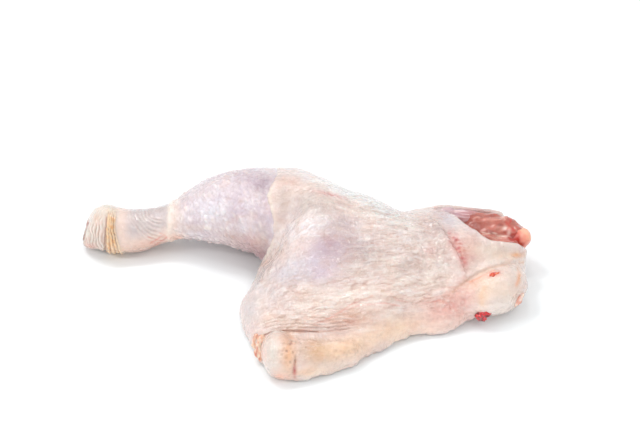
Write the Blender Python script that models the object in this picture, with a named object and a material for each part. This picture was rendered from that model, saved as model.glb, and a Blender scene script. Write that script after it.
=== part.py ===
"""Raw chicken leg quarter, skin side up: drumstick, thigh and a strip of back in one piece.

The leg lies on its flat inner side. The drumstick points along -X, with the cut
hock joint at its end, and the thigh spreads towards +X and -Y. All sizes are in
millimetres in the leg's own layout until the last step, which puts the origin
under the middle of the leg's box and turns the sizes into metres.

It is blocked out with rings bridged along the bone, a raised grid inside the
thigh's plan outline, and ellipsoids for the rolled skin, the fat and the bare
muscle. These are remeshed into one body, whose surface then settles onto leg(),
the same tissues as smooth distances: smooth_min and smooth_max join and cut them
the way soft tissue meets.
"""

import math

import bmesh
import bpy
import numpy as np
from mathutils import Matrix, Vector

# ------------------------------------------------------------------ driving sizes, mm
HOCK_R = 13.4            # knob at the cut hock joint
SHANK_R = 10.9           # thinnest girth above the knob
CALF_R = 25.0            # thickest girth of the drumstick
KNEE_R = 25.5            # end of the drumstick inside the thigh
SHANK_LIFT = 3.2         # how far the shank clears the table
TOP_OF_KNEE = 51.0       # highest point of the leg
SKIRT_EDGE = 3.2         # height of the thin skin edge that lies on the table
FAR_RIM = 19.2           # height at which the far side of the thigh is widest
ROLL_R = 9.6             # rolled skin at the near corner
FAT_R = 13.5             # lump of fat at the cut back strip
POCKET_FLOOR = 19.5      # depth to which the skin pocket is open
FLAP_T = 2.6             # half thickness of the loose skin behind the bare muscle
FOLD_R = 1.6             # half width of a skin crease
BLEND = 9.0              # how softly the drumstick runs into the thigh
VOXEL = 2.3              # spacing of the remeshed surface
TRIANGLES = 8800         # after the plain areas are thinned out

# Drumstick along the bone: x, y and z of the middle, half width, half height
DRUMSTICK = [
    (-140.0, -25.0, 12.0, 9.0, 9.0),
    (-130.0, -25.3, 12.1, 11.2, 11.8),
    (-124.0, -25.8, 12.5, 12.6, 12.7),
    (-119.0, -27.0, 13.1, HOCK_R, HOCK_R),
    (-113.0, -27.6, 12.6, 12.8, 12.8),
    (-106.0, -28.0, 12.2, 12.4, 12.4),
    (-98.0, -26.6, 12.0, 11.7, 11.9),
    (-90.0, -25.2, SHANK_R + 3.0, SHANK_R, SHANK_R - 0.2),
    (-84.0, -24.2, SHANK_R + SHANK_LIFT + 1.7, SHANK_R + 0.1, SHANK_R - 0.1),
    (-78.0, -23.4, 18.4, 12.6, 12.0),
    (-70.0, -22.8, 21.2, 15.6, 14.8),
    (-62.0, -22.6, 23.2, 18.2, 17.6),
    (-54.0, -22.8, 24.4, 20.4, 19.8),
    (-45.0, -23.6, 24.6, 22.6, 21.8),
    (-34.0, -26.0, 24.8, CALF_R, CALF_R - 1.0),
    (-20.0, -29.0, 25.0, KNEE_R + 0.5, KNEE_R),
    (-4.0, -32.0, 24.5, KNEE_R - 0.5, KNEE_R - 1.0),
    (14.0, -34.0, 20.0, 20.0, 18.0),
    (40.0, -36.0, 16.0, 14.0, 12.0),
]
HOCK_CUT = (-134.8, 5.0)         # x and z of a point on the slanting cut
HOCK_CUT_NORMAL = (-0.915, 0.403)

# Plan outline of the thigh, anticlockwise from the crook behind the drumstick
THIGH_PLAN = [
    (-24, -41), (-29.5, -51), (-33.5, -60), (-37.5, -69), (-41.5, -78), (-42.8, -86),
    (-41, -94), (-36.5, -105), (-32.5, -114), (-26.5, -123), (-18.5, -129.5),
    (-8, -130.5), (1, -127.5), (16, -120.5), (31, -111.5), (44, -102.5), (57, -98.3),
    (68, -97), (83, -88.5), (93, -85.5), (103, -79), (110, -68), (113.5, -55),
    (113, -43), (107, -31), (94, -24), (80, -21.5), (67, -18.5), (55, -21.5),
    (44, -23), (30, -16.5), (14, -11.5), (-8, -7), (-20, -8), (-22, -25),
]
# Heights of the thigh over the table at places on its plan: x, y, height
THIGH_HEIGHTS = [
    (-26, -30, 44), (-14, -31, TOP_OF_KNEE), (8, -36, 48.5), (28, -40, 44),
    (44, -44, 39), (68, -34, 34), (92, -40, 33), (108, -50, 28),
    (-27, -54, 20), (-14, -58, 45), (8, -62, 46), (34, -66, 42), (60, -66, 37),
    (84, -60, 34), (104, -62, 28),
    (-35, -70, 15), (-20, -64, 34), (-24, -80, 28), (0, -84, 35), (28, -86, 32),
    (54, -82, 30), (76, -80, 25), (96, -76, 24),
    (-34, -92, 17), (-16, -102, 20.5), (8, -106, 19), (34, -102, 18.5), (60, -92, 20),
    (-18, -122, 15), (0, -122, 13), (20, -114, 11),
]
HEIGHT_REACH = 30.0

# Mouth of the skin pocket at the far right corner
POCKET_PLAN = [
    (68, -30), (73, -37.5), (77, -45), (81.4, -50), (86.7, -54), (92, -56),
    (97.7, -55.5), (103.5, -53.5), (109.5, -50.8), (116, -48.5), (126, -48),
    (126, -36), (114, -34.5), (106, -31.5), (96, -28), (86, -26.5), (76, -27),
]
# Top edge of the loose skin behind the muscle: x, y, z
FLAP_TOP = [
    (64, -31, 34), (70, -29.5, 33), (78, -28.5, 31), (86, -28, 29.6),
    (94, -28, 28.6), (101, -29.5, 27.2), (105, -32, 24),
]
# Creases: the one above the rolled skin, and the one above the fat
ROLL_CREASE = [
    (-32, -111, 13), (-27.1, -112.5, 17.5), (-23.5, -111, 18.5), (-15.7, -110.5, 18.5),
    (-10.5, -111, 18), (0, -112, 17.5), (13.1, -112.5, 15.5), (24, -110, 14),
]
FAT_CREASE = [
    (70.4, -87, 22), (74.7, -83, 24.5), (80.2, -79.5, 26.5), (85.7, -76.5, 28),
    (91.2, -74, 28.8), (96.7, -71.6, 28.8), (103.6, -68, 27), (111, -62.4, 22),
    (117, -60, 17),
]

# Rolled skin: both ends of its middle line and the radius at each
ROLL = ((-19, -122.5, 8.5), (14, -115.5, 6.0), ROLL_R, ROLL_R - 2.1)
# Lumps: middle, half sizes, yaw and pitch in degrees. The fat, the lobes of bare muscle
# in the pocket, the nub of meat below the fat and the clot at the table
FAT = ((95, -76, 13), (19.0, FAT_R, FAT_R), 28, 0)
MUSCLE = [
    ((93, -34.5, 18.5), (19.5, 8.0, 9.5), -2, -3),
    ((96, -46.5, 15.5), (20, 10.5, 10.0), 6, 4),
    ((112, -41, 17), (6, 6, 6.5), 0, 0),
]
NUB = ((108.8, -77, 9), (3.6, 3.6, 3.2), 0, 0)
CLOT = ((86.5, -89.5, 3.6), (5.5, 3.2, 3.4), 0, 0)

PLAN_LOW, PLAN_HIGH, PLAN_STEP = (-160.0, -160.0), (140.0, 30.0), 1.0


# ------------------------------------------------------------------ small helpers
def smooth_min(a, b, k):
    h = np.clip(0.5 + 0.5 * (b - a) / k, 0, 1)
    return b + (a - b) * h - k * h * (1 - h)


def smooth_max(a, b, k):
    return -smooth_min(-a, -b, k)


def ease(low, high, x):
    t = np.clip((x - low) / (high - low), 0, 1)
    return t * t * (3 - 2 * t)


def along(t, xs, ys):
    """A cubic through the stations (xs, ys), read at t."""
    xs, ys = np.asarray(xs, float), np.asarray(ys, float)
    slope = np.diff(ys) / np.diff(xs)
    m = np.concatenate([slope[:1], (slope[1:] + slope[:-1]) / 2, slope[-1:]])
    i = np.clip(np.searchsorted(xs, t) - 1, 0, len(xs) - 2)
    h = xs[i + 1] - xs[i]
    s = np.clip((t - xs[i]) / h, 0, 1)
    return (
        (1 + 2 * s) * (1 - s) ** 2 * ys[i]
        + s * (1 - s) ** 2 * h * m[i]
        + s * s * (3 - 2 * s) * ys[i + 1]
        + s * s * (s - 1) * h * m[i + 1]
    )


def closed_curve(points, n):
    """A Catmull-Rom curve round the points, n steps to a span."""
    p = np.asarray(points, float)
    out = []
    for i in range(len(p)):
        p0, p1, p2, p3 = p[i - 1], p[i], p[(i + 1) % len(p)], p[(i + 2) % len(p)]
        for t in np.arange(n) / n:
            out.append(
                0.5 * (2 * p1 + (p2 - p0) * t + (2 * p0 - 5 * p1 + 4 * p2 - p3) * t * t
                       + (3 * p1 - p0 - 3 * p2 + p3) * t ** 3)
            )
    return np.array(out)


# ------------------------------------------------------------------ maps over the plan
PLAN_X, PLAN_Y = np.meshgrid(
    np.arange(PLAN_LOW[0], PLAN_HIGH[0] + PLAN_STEP, PLAN_STEP),
    np.arange(PLAN_LOW[1], PLAN_HIGH[1] + PLAN_STEP, PLAN_STEP),
    indexing="ij",
)


def depth_map(curve):
    """How far each place on the plan lies inside the curve; negative outside."""
    px, py = PLAN_X.ravel(), PLAN_Y.ravel()
    best, inside = np.full(px.shape, 1e9), np.zeros(px.shape, bool)
    for a, b in zip(curve, np.roll(curve, -1, 0)):
        ab = b - a
        t = np.clip(((px - a[0]) * ab[0] + (py - a[1]) * ab[1]) / (ab @ ab), 0, 1)
        best = np.minimum(best, np.hypot(px - a[0] - t * ab[0], py - a[1] - t * ab[1]))
        if a[1] != b[1]:
            crosses = (a[1] > py) != (b[1] > py)
            inside ^= crosses & (px < (b[0] - a[0]) * (py - a[1]) / (b[1] - a[1]) + a[0])
    return np.where(inside, best, -best).reshape(PLAN_X.shape)


def height_map(posts, reach):
    """A smooth surface through the heights, as a sum of bells centred on the places."""
    p = np.array(posts, float)
    apart = np.hypot(p[:, None, 0] - p[None, :, 0], p[:, None, 1] - p[None, :, 1])
    level = p[:, 2].mean()
    bells = np.linalg.solve(
        np.exp(-((apart / reach) ** 2)) + 0.01 * np.eye(len(p)), p[:, 2] - level
    )
    return level + sum(
        c * np.exp(-((PLAN_X - x) ** 2 + (PLAN_Y - y) ** 2) / reach**2)
        for c, (x, y, _) in zip(bells, p)
    )


def read_map(values, x, y):
    i = np.clip((x - PLAN_LOW[0]) / PLAN_STEP, 0, values.shape[0] - 1.001)
    j = np.clip((y - PLAN_LOW[1]) / PLAN_STEP, 0, values.shape[1] - 1.001)
    i0, j0 = i.astype(int), j.astype(int)
    a, b = i - i0, j - j0
    return (
        values[i0, j0] * (1 - a) * (1 - b) + values[i0 + 1, j0] * a * (1 - b)
        + values[i0, j0 + 1] * (1 - a) * b + values[i0 + 1, j0 + 1] * a * b
    )


THIGH_DEPTH = depth_map(closed_curve(THIGH_PLAN, 8))
THIGH_TOP = height_map(THIGH_HEIGHTS, HEIGHT_REACH)
POCKET_DEPTH = depth_map(closed_curve(POCKET_PLAN, 4))


# ------------------------------------------------------------------ tissue
def drumstick(p):
    x, y, z = p[:, 0], p[:, 1], p[:, 2]
    s = np.array(DRUMSTICK)
    yc, zc, ry, rz = (along(x, s[:, 0], s[:, k]) for k in (1, 2, 3, 4))
    dy, dz = (y - yc) / ry, (z - zc) / rz
    q = np.hypot(dy, dz) + 1e-9
    f = np.maximum((q - 1) / (np.hypot(dy / ry, dz / rz) / q + 1e-6), -30)
    cut = (x - HOCK_CUT[0]) * HOCK_CUT_NORMAL[0] + (z - HOCK_CUT[1]) * HOCK_CUT_NORMAL[1]
    return smooth_max(smooth_max(f, cut, 5.0), x - 30, 10.0)


def thigh_section(x, y):
    """Height above the rim, height of the rim, and how far into the rounded edge: 0 to 1."""
    far = ease(-95, -45, y) * ease(-48, -16, x)
    right = ease(70, 105, x)
    round_w = 9 + 17 * far - 7 * right * far + (4 * right + 5 * ease(15, 55, x)) * (1 - far)
    rim = SKIRT_EDGE + (FAR_RIM - SKIRT_EDGE) * far - 4 * right * far + 6 * right * (1 - far)
    above = np.maximum(read_map(THIGH_TOP, x, y) - rim, 2.0)
    return above, rim, np.maximum(1 - read_map(THIGH_DEPTH, x, y) / round_w, 0), round_w


def thigh(p):
    above, rim, side, round_w = thigh_section(p[:, 0], p[:, 1])
    dz = p[:, 2] - rim
    half = np.where(dz > 0, above, rim + 2.0)
    q = np.hypot(side, dz / half) + 1e-9
    return np.clip((q - 1) / (np.hypot(side / round_w, dz / half**2) / q + 1e-3), -30, 60)


def ellipsoid(p, centre, size, yaw=0.0, pitch=0.0):
    q = p - np.array(centre, float)
    c, s = math.cos(math.radians(yaw)), math.sin(math.radians(yaw))
    x, y, z = q[:, 0] * c + q[:, 1] * s, q[:, 1] * c - q[:, 0] * s, q[:, 2]
    c, s = math.cos(math.radians(pitch)), math.sin(math.radians(pitch))
    q = np.stack([x * c + z * s, y, z * c - x * s], 1) / np.array(size)
    a = np.linalg.norm(q, axis=1) + 1e-9
    return np.clip((a - 1) / (np.linalg.norm(q / np.array(size), axis=1) / a + 1e-6), -30, 200)


def rod(p, a, b, ra, rb):
    a, b = np.array(a, float), np.array(b, float)
    t = np.clip(((p - a) @ (b - a)) / ((b - a) @ (b - a)), 0, 1)
    return np.linalg.norm(p - a - t[:, None] * (b - a), axis=1) - (ra + (rb - ra) * t)


def crease(p, line, r):
    return np.min([rod(p, a, b, r, r) for a, b in zip(line[:-1], line[1:])], axis=0)


def pocket(p):
    return smooth_max(-read_map(POCKET_DEPTH, p[:, 0], p[:, 1]), POCKET_FLOOR - p[:, 2], 4.0)


def flap(p):
    top = np.array(FLAP_TOP, float)
    away = np.full(len(p), 1e9)
    for a, b in zip(top[:-1, :2], top[1:, :2]):
        t = np.clip(((p[:, :2] - a) @ (b - a)) / ((b - a) @ (b - a)), 0, 1)
        away = np.minimum(away, np.linalg.norm(p[:, :2] - a - t[:, None] * (b - a), axis=1))
    over = p[:, 2] - np.interp(p[:, 0], top[:, 0], top[:, 2])
    return smooth_max(smooth_max(away - FLAP_T, over, FLAP_T), 10.0 - p[:, 2], 1.0)


def bare_muscle(p):
    f = smooth_min(ellipsoid(p, *MUSCLE[0]), ellipsoid(p, *MUSCLE[1]), 1.5)
    return smooth_min(f, ellipsoid(p, *MUSCLE[2]), 2.0)


def leg(p):
    """Negative inside the leg, positive outside, and near zero about the distance in mm."""
    f = smooth_min(drumstick(p), thigh(p), BLEND)
    f = smooth_min(f, rod(p, *ROLL), 4.0)
    f = smooth_min(f, ellipsoid(p, *FAT), 4.0)
    f = smooth_max(f, -crease(p, ROLL_CREASE, FOLD_R), 3.0)
    f = smooth_max(f, -crease(p, FAT_CREASE, FOLD_R), 3.0)
    f = smooth_max(f, -pocket(p), 3.0)
    f = smooth_min(f, flap(p), 3.0)
    f = smooth_min(f, bare_muscle(p), 5.0)
    f = smooth_min(f, ellipsoid(p, *NUB), 1.5)
    return smooth_min(f, ellipsoid(p, *CLOT), 1.0)


# ------------------------------------------------------------------ blocking out
def new_object(name, form):
    bmesh.ops.recalc_face_normals(form, faces=form.faces)
    mesh = bpy.data.meshes.new(name)
    form.to_mesh(mesh)
    form.free()
    made = bpy.data.objects.new(name, mesh)
    bpy.context.scene.collection.objects.link(made)
    return made


def block_drumstick(form):
    """Rings round the bone, bridged from the hock to the knee, with both ends filled."""
    s = np.array(DRUMSTICK)
    rings = []
    for x in np.linspace(HOCK_CUT[0], 30.0, 48):
        y, z, ry, rz = (float(along(x, s[:, 0], s[:, k])) for k in (1, 2, 3, 4))
        place = (
            Matrix.Translation((x, y, z))
            @ Matrix.Rotation(math.radians(90), 4, "Y")
            @ Matrix.Diagonal((rz, ry, 1, 1))
        )
        made = bmesh.ops.create_circle(form, segments=40, radius=1.0, matrix=place)
        rings.append({e for v in made["verts"] for e in v.link_edges})
    for a, b in zip(rings[:-1], rings[1:]):
        bmesh.ops.bridge_loops(form, edges=list(a | b))
    bmesh.ops.holes_fill(form, edges=[e for e in form.edges if e.is_boundary], sides=0)


def block_thigh(form):
    """A grid inside the plan outline, thickened from the table up to the thigh's height."""
    nx, ny = int(300 / VOXEL), int(190 / VOXEL)
    grid = bmesh.ops.create_grid(
        form, x_segments=nx, y_segments=ny, size=0.5,
        matrix=Matrix.Translation((-10, -65, 0)) @ Matrix.Diagonal((300, 190, 1, 1)),
    )["verts"]
    at = np.array([v.co[:] for v in grid])
    inside = read_map(THIGH_DEPTH, at[:, 0], at[:, 1]) > 0.5
    bmesh.ops.delete(form, geom=[v for v, keep in zip(grid, inside) if not keep], context="VERTS")
    kept = [v for v, keep in zip(grid, inside) if keep]
    faces = {f for v in kept for f in v.link_faces}
    raised = bmesh.ops.extrude_face_region(form, geom=list(faces), use_keep_orig=True)["geom"]
    for v in raised:
        if isinstance(v, bmesh.types.BMVert):
            x, y = np.array([v.co.x]), np.array([v.co.y])
            lift, rim, side, _ = thigh_section(x, y)
            v.co.z = float(rim[0] + lift[0] * math.sqrt(max(1 - side[0] ** 2, 0.0)))
    for v in kept:
        if v.is_valid:
            v.co.z = -1.5


def block_ellipsoid(form, centre, size, yaw=0.0, pitch=0.0):
    place = (
        Matrix.Translation(centre)
        @ Matrix.Rotation(math.radians(yaw), 4, "Z")
        @ Matrix.Rotation(math.radians(-pitch), 4, "Y")
        @ Matrix.Diagonal((*size, 1))
    )
    bmesh.ops.create_icosphere(form, subdivisions=3, radius=1.0, matrix=place)


def block_rod(form, a, b, ra, rb):
    a, b = Vector(a), Vector(b)
    turn = (b - a).to_track_quat("Z", "Y").to_matrix().to_4x4()
    bmesh.ops.create_cone(
        form, cap_ends=True, segments=24, radius1=ra, radius2=rb, depth=(b - a).length,
        matrix=Matrix.Translation((a + b) / 2) @ turn,
    )
    for end, r in ((a, ra), (b, rb)):
        bmesh.ops.create_icosphere(form, subdivisions=2, radius=r, matrix=Matrix.Translation(end))


def block_prism(form, plan, bottom, top):
    """The plan outline as a face, extruded up; top is one height or one for each point."""
    face = form.faces.new([form.verts.new((x, y, bottom)) for x, y in plan])
    tops = np.broadcast_to(top, len(plan))
    made = bmesh.ops.extrude_face_region(form, geom=[face], use_keep_orig=True)["geom"]
    rows = [v for v in made if isinstance(v, bmesh.types.BMVert)]
    for v in rows:
        near = min(range(len(plan)), key=lambda k: math.hypot(v.co.x - plan[k][0], v.co.y - plan[k][1]))
        v.co.z = float(tops[near])


def block_flap(form):
    """A wall along the flap's line, with its top edge rising and falling."""
    line = np.array(FLAP_TOP, float)
    away = np.gradient(line[:, :2], axis=0)
    away = np.stack([-away[:, 1], away[:, 0]], 1) / np.linalg.norm(away, axis=1)[:, None] * FLAP_T
    plan = np.concatenate([line[:, :2] + away, (line[:, :2] - away)[::-1]])
    block_prism(form, plan.tolist(), 6.0, np.concatenate([line[:, 2], line[::-1, 2]]))


# ------------------------------------------------------------------ settling the surface
def edge_ends(mesh):
    ends = np.empty(len(mesh.edges) * 2, np.int32)
    mesh.edges.foreach_get("vertices", ends)
    return ends.reshape(-1, 2)


def relax(points, ends, amount):
    """Each point moves towards the middle of its neighbours."""
    total, count = np.zeros_like(points), np.zeros(len(points))
    for a, b in ((0, 1), (1, 0)):
        np.add.at(total, ends[:, a], points[ends[:, b]])
        np.add.at(count, ends[:, a], 1)
    return points + amount * (total / count[:, None] - points)


def settle(points, shape, rounds, reach=1.5):
    """Moves the points onto the shape's surface along its slope."""
    for _ in range(rounds):
        f = shape(points)
        slope = np.stack(
            [(shape(points + e) - shape(points - e)) / 0.4 for e in 0.2 * np.eye(3)], 1
        )
        move = slope * (f / np.maximum((slope**2).sum(1), 0.2))[:, None]
        length = np.linalg.norm(move, axis=1)
        points = points - move * np.minimum(1, reach / np.maximum(length, 1e-9))[:, None]
    return points


def read_points(mesh):
    at = np.empty(len(mesh.vertices) * 3)
    mesh.vertices.foreach_get("co", at)
    return at.reshape(-1, 3)


def write_points(mesh, at):
    mesh.vertices.foreach_set("co", np.asarray(at).ravel())
    mesh.update()


def evaluated(obj):
    """The object's mesh with its modifiers applied."""
    bpy.context.view_layer.update()
    graph = bpy.context.evaluated_depsgraph_get()
    return bpy.data.meshes.new_from_object(obj.evaluated_get(graph))


def voxel_remesh(obj, name, size):
    remesh = obj.modifiers.new(name, "REMESH")
    remesh.mode = "VOXEL"
    remesh.voxel_size = size


def boolean(obj, other, operation):
    cut = obj.modifiers.new(other.name, "BOOLEAN")
    cut.object = other
    cut.operation = operation
    cut.solver = "EXACT"
    other.hide_render = True
    other.display_type = "WIRE"


def principled(name, colour, roughness):
    material = bpy.data.materials.new(name)
    material.use_nodes = True
    shader = material.node_tree.nodes["Principled BSDF"]
    shader.inputs["Base Color"].default_value = (*colour, 1.0)
    shader.inputs["Roughness"].default_value = roughness
    shader.inputs["Metallic"].default_value = 0.0
    shader.inputs["Subsurface Weight"].default_value = 0.3
    shader.inputs["Subsurface Radius"].default_value = (0.004, 0.0015, 0.001)
    material.diffuse_color = (*colour, 1.0)
    return material


def main():
    for old in list(bpy.data.objects):
        bpy.data.objects.remove(old, do_unlink=True)

    form = bmesh.new()
    block_drumstick(form)
    block_thigh(form)
    block_rod(form, *ROLL)
    for lump in (FAT, NUB, CLOT):
        block_ellipsoid(form, *lump)
    body = new_object("leg_quarter", form)

    form = bmesh.new()
    block_prism(form, POCKET_PLAN, POCKET_FLOOR, 70.0)
    opening = new_object("pocket_cutter", form)

    form = bmesh.new()
    for lobe in MUSCLE:
        block_ellipsoid(form, *lobe)
    block_flap(form)
    filling = new_object("muscle_and_flap", form)
    voxel_remesh(filling, "one_body", 1.0)

    voxel_remesh(body, "one_body", VOXEL)
    boolean(body, opening, "DIFFERENCE")
    boolean(body, filling, "UNION")
    voxel_remesh(body, "even_net", VOXEL)
    even = evaluated(body)
    body.modifiers.clear()
    body.data = even
    for helper in (opening, filling):
        bpy.data.objects.remove(helper, do_unlink=True)

    # The even net settles onto the tissue, then its underside is pressed flat on the table
    points, ends = read_points(even), edge_ends(even)
    for amount in (0.6, 0.6, 0.5, 0.5, 0.4, 0.4, 0.3, 0.3):
        points = settle(relax(points, ends, amount), leg, 2)
    points = settle(points, leg, 2)
    points[:, 2] = np.maximum(points[:, 2], 0.0)
    write_points(even, points)

    # Fewer, larger faces where the form is plain
    thin = body.modifiers.new("thin_out", "DECIMATE")
    thin.ratio = TRIANGLES / (2 * len(even.polygons))
    thin.use_collapse_triangulate = True
    light = evaluated(body)
    body.modifiers.clear()
    body.data = light
    light.name = "leg_quarter"

    # Origin under the middle of the leg's box, sizes in metres
    at = read_points(light)
    at[at[:, 2] < 0.05, 2] = 0.0
    low, high = at.min(0), at.max(0)
    middle = np.array([(low[0] + high[0]) / 2, (low[1] + high[1]) / 2, 0.0])
    print("middle of the box in the layout, mm:", np.round(middle, 4))

    light.materials.clear()
    light.materials.append(principled("raw_skin", (0.80, 0.63, 0.56), 0.42))
    light.materials.append(principled("raw_muscle", (0.62, 0.24, 0.19), 0.30))
    for face in light.polygons:
        c = np.array([face.center[:]])
        face.material_index = int(abs(bare_muscle(c)[0]) < 0.8 and c[0, 2] > POCKET_FLOOR)

    write_points(light, (at - middle) * 0.001)
    light.shade_smooth()
    light.set_sharp_from_angle(angle=math.radians(50))
    form = bmesh.new()
    form.from_mesh(light)
    bmesh.ops.recalc_face_normals(form, faces=form.faces)
    form.to_mesh(light)
    form.free()


main()
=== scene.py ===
import math

import bmesh
import bpy
import numpy as np
from mathutils import Matrix, Vector


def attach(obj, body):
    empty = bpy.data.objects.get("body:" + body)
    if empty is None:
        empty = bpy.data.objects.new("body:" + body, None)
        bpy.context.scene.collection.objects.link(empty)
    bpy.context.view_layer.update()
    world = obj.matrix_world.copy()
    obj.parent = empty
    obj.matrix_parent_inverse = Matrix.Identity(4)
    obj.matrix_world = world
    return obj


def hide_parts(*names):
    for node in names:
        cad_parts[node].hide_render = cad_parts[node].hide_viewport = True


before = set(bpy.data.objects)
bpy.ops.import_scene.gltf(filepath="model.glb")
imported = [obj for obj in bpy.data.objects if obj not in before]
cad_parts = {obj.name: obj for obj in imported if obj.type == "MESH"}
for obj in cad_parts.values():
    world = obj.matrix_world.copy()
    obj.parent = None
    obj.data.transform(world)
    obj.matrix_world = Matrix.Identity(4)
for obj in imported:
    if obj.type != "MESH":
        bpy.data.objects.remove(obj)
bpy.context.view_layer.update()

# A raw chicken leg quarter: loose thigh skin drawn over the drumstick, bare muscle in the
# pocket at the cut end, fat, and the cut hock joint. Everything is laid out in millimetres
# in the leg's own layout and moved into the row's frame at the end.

MIDDLE = np.array([-8.3823, -66.4709, 0.0])   # the layout's point over the row's origin

# ------------------------------------------------------------------ sizes of the CAD model, mm
HOCK_R, SHANK_R, CALF_R, KNEE_R, SHANK_LIFT = 13.4, 10.9, 25.0, 25.5, 3.2
TOP_OF_KNEE, SKIRT_EDGE, FAR_RIM = 51.0, 3.2, 19.2
DRUMSTICK = [
    (-140.0, -25.0, 12.0, 9.0, 9.0),
    (-130.0, -25.3, 12.1, 11.2, 11.8),
    (-124.0, -25.8, 12.5, 12.6, 12.7),
    (-119.0, -27.0, 13.1, HOCK_R, HOCK_R),
    (-113.0, -27.6, 12.6, 12.8, 12.8),
    (-106.0, -28.0, 12.2, 12.4, 12.4),
    (-98.0, -26.6, 12.0, 11.7, 11.9),
    (-90.0, -25.2, SHANK_R + 3.0, SHANK_R, SHANK_R - 0.2),
    (-84.0, -24.2, SHANK_R + SHANK_LIFT + 1.7, SHANK_R + 0.1, SHANK_R - 0.1),
    (-78.0, -23.4, 18.4, 12.6, 12.0),
    (-70.0, -22.8, 21.2, 15.6, 14.8),
    (-62.0, -22.6, 23.2, 18.2, 17.6),
    (-54.0, -22.8, 24.4, 20.4, 19.8),
    (-45.0, -23.6, 24.6, 22.6, 21.8),
    (-34.0, -26.0, 24.8, CALF_R, CALF_R - 1.0),
    (-20.0, -29.0, 25.0, KNEE_R + 0.5, KNEE_R),
    (-4.0, -32.0, 24.5, KNEE_R - 0.5, KNEE_R - 1.0),
    (14.0, -34.0, 20.0, 20.0, 18.0),
    (40.0, -36.0, 16.0, 14.0, 12.0),
]
HOCK_CUT, HOCK_CUT_NORMAL = (-134.8, 5.0), (-0.915, 0.403)
THIGH_PLAN = [
    (-24, -41), (-29.5, -51), (-33.5, -60), (-37.5, -69), (-41.5, -78), (-42.8, -86),
    (-41, -94), (-36.5, -105), (-32.5, -114), (-26.5, -123), (-18.5, -129.5),
    (-8, -130.5), (1, -127.5), (16, -120.5), (31, -111.5), (44, -102.5), (57, -98.3),
    (68, -97), (83, -88.5), (93, -85.5), (103, -79), (110, -68), (113.5, -55),
    (113, -43), (107, -31), (94, -24), (80, -21.5), (67, -18.5), (55, -21.5),
    (44, -23), (30, -16.5), (14, -11.5), (-8, -7), (-20, -8), (-22, -25),
]
THIGH_HEIGHTS = [
    (-26, -30, 44), (-14, -31, TOP_OF_KNEE), (8, -36, 48.5), (28, -40, 44),
    (44, -44, 39), (68, -34, 34), (92, -40, 33), (108, -50, 28),
    (-27, -54, 20), (-14, -58, 45), (8, -62, 46), (34, -66, 42), (60, -66, 37),
    (84, -60, 34), (104, -62, 28),
    (-35, -70, 15), (-20, -64, 34), (-24, -80, 28), (0, -84, 35), (28, -86, 32),
    (54, -82, 30), (76, -80, 25), (96, -76, 24),
    (-34, -92, 17), (-16, -102, 20.5), (8, -106, 19), (34, -102, 18.5), (60, -92, 20),
    (-18, -122, 15), (0, -122, 13), (20, -114, 11),
]
POCKET_PLAN = [
    (68, -30), (73, -37.5), (77, -45), (81.4, -50), (86.7, -54), (92, -56),
    (97.7, -55.5), (103.5, -53.5), (109.5, -50.8), (116, -48.5), (126, -48),
    (126, -36), (114, -34.5), (106, -31.5), (96, -28), (86, -26.5), (76, -27),
]
FLAP_TOP = [
    (64, -31, 34), (70, -29.5, 33), (78, -28.5, 31), (86, -28, 29.6),
    (94, -28, 28.6), (101, -29.5, 27.2), (105, -32, 24),
]
ROLL_CREASE = [
    (-32, -111, 13), (-27.1, -112.5, 17.5), (-23.5, -111, 18.5), (-15.7, -110.5, 18.5),
    (-10.5, -111, 18), (0, -112, 17.5), (13.1, -112.5, 15.5), (24, -110, 14),
]
FAT_LINE = [(455, 290), (462, 284), (470, 278.5), (480, 272.5), (490, 268.5), (500, 265.5), (512, 263), (523, 262)]
LIP = [(90, -58.4, 29.6), (98, -57.2, 27.8), (104, -55.8, 25.6), (108.6, -54.6, 23.6), (111.4, -54.0, 20.6)]
ROLL = ((-19, -122.5, 8.5), (14, -115.5, 6.0), 9.6, 7.5)
FAT = ((95, -76, 13), (19.0, 13.5, 13.5), 28, 0)
PLAN_LOW, PLAN_HIGH, PLAN_STEP = (-160.0, -160.0), (140.0, 30.0), 1.0

# ------------------------------------------------------------------ the main view
# Long lens, 42 degrees above the table, looking at the layout's origin
ELEVATION, DISTANCE, LENS, SENSOR = 42.0, 950.0, 92.0, 36.0
FRAME_W, FRAME_H = 640, 427
PIXELS = FRAME_W * LENS / SENSOR
_e = math.radians(ELEVATION)
EYE = np.array([0.0, -DISTANCE * math.cos(_e), DISTANCE * math.sin(_e)])
RIGHT = np.array([1.0, 0.0, 0.0])
UP = np.array([0.0, math.sin(_e), math.cos(_e)])
AHEAD = np.array([0.0, math.cos(_e), -math.sin(_e)])


# ------------------------------------------------------------------ small helpers
def smooth_min(a, b, k):
    h = np.clip(0.5 + 0.5 * (b - a) / k, 0, 1)
    return b + (a - b) * h - k * h * (1 - h)


def smooth_max(a, b, k):
    return -smooth_min(-a, -b, k)


def ease(low, high, x):
    t = np.clip((x - low) / (high - low), 0, 1)
    return t * t * (3 - 2 * t)


def along(t, xs, ys):
    xs, ys = np.asarray(xs, float), np.asarray(ys, float)
    slope = np.diff(ys) / np.diff(xs)
    m = np.concatenate([slope[:1], (slope[1:] + slope[:-1]) / 2, slope[-1:]])
    i = np.clip(np.searchsorted(xs, t) - 1, 0, len(xs) - 2)
    h = xs[i + 1] - xs[i]
    s = np.clip((t - xs[i]) / h, 0, 1)
    return (
        (1 + 2 * s) * (1 - s) ** 2 * ys[i] + s * (1 - s) ** 2 * h * m[i]
        + s * s * (3 - 2 * s) * ys[i + 1] + s * s * (s - 1) * h * m[i + 1]
    )


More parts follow.
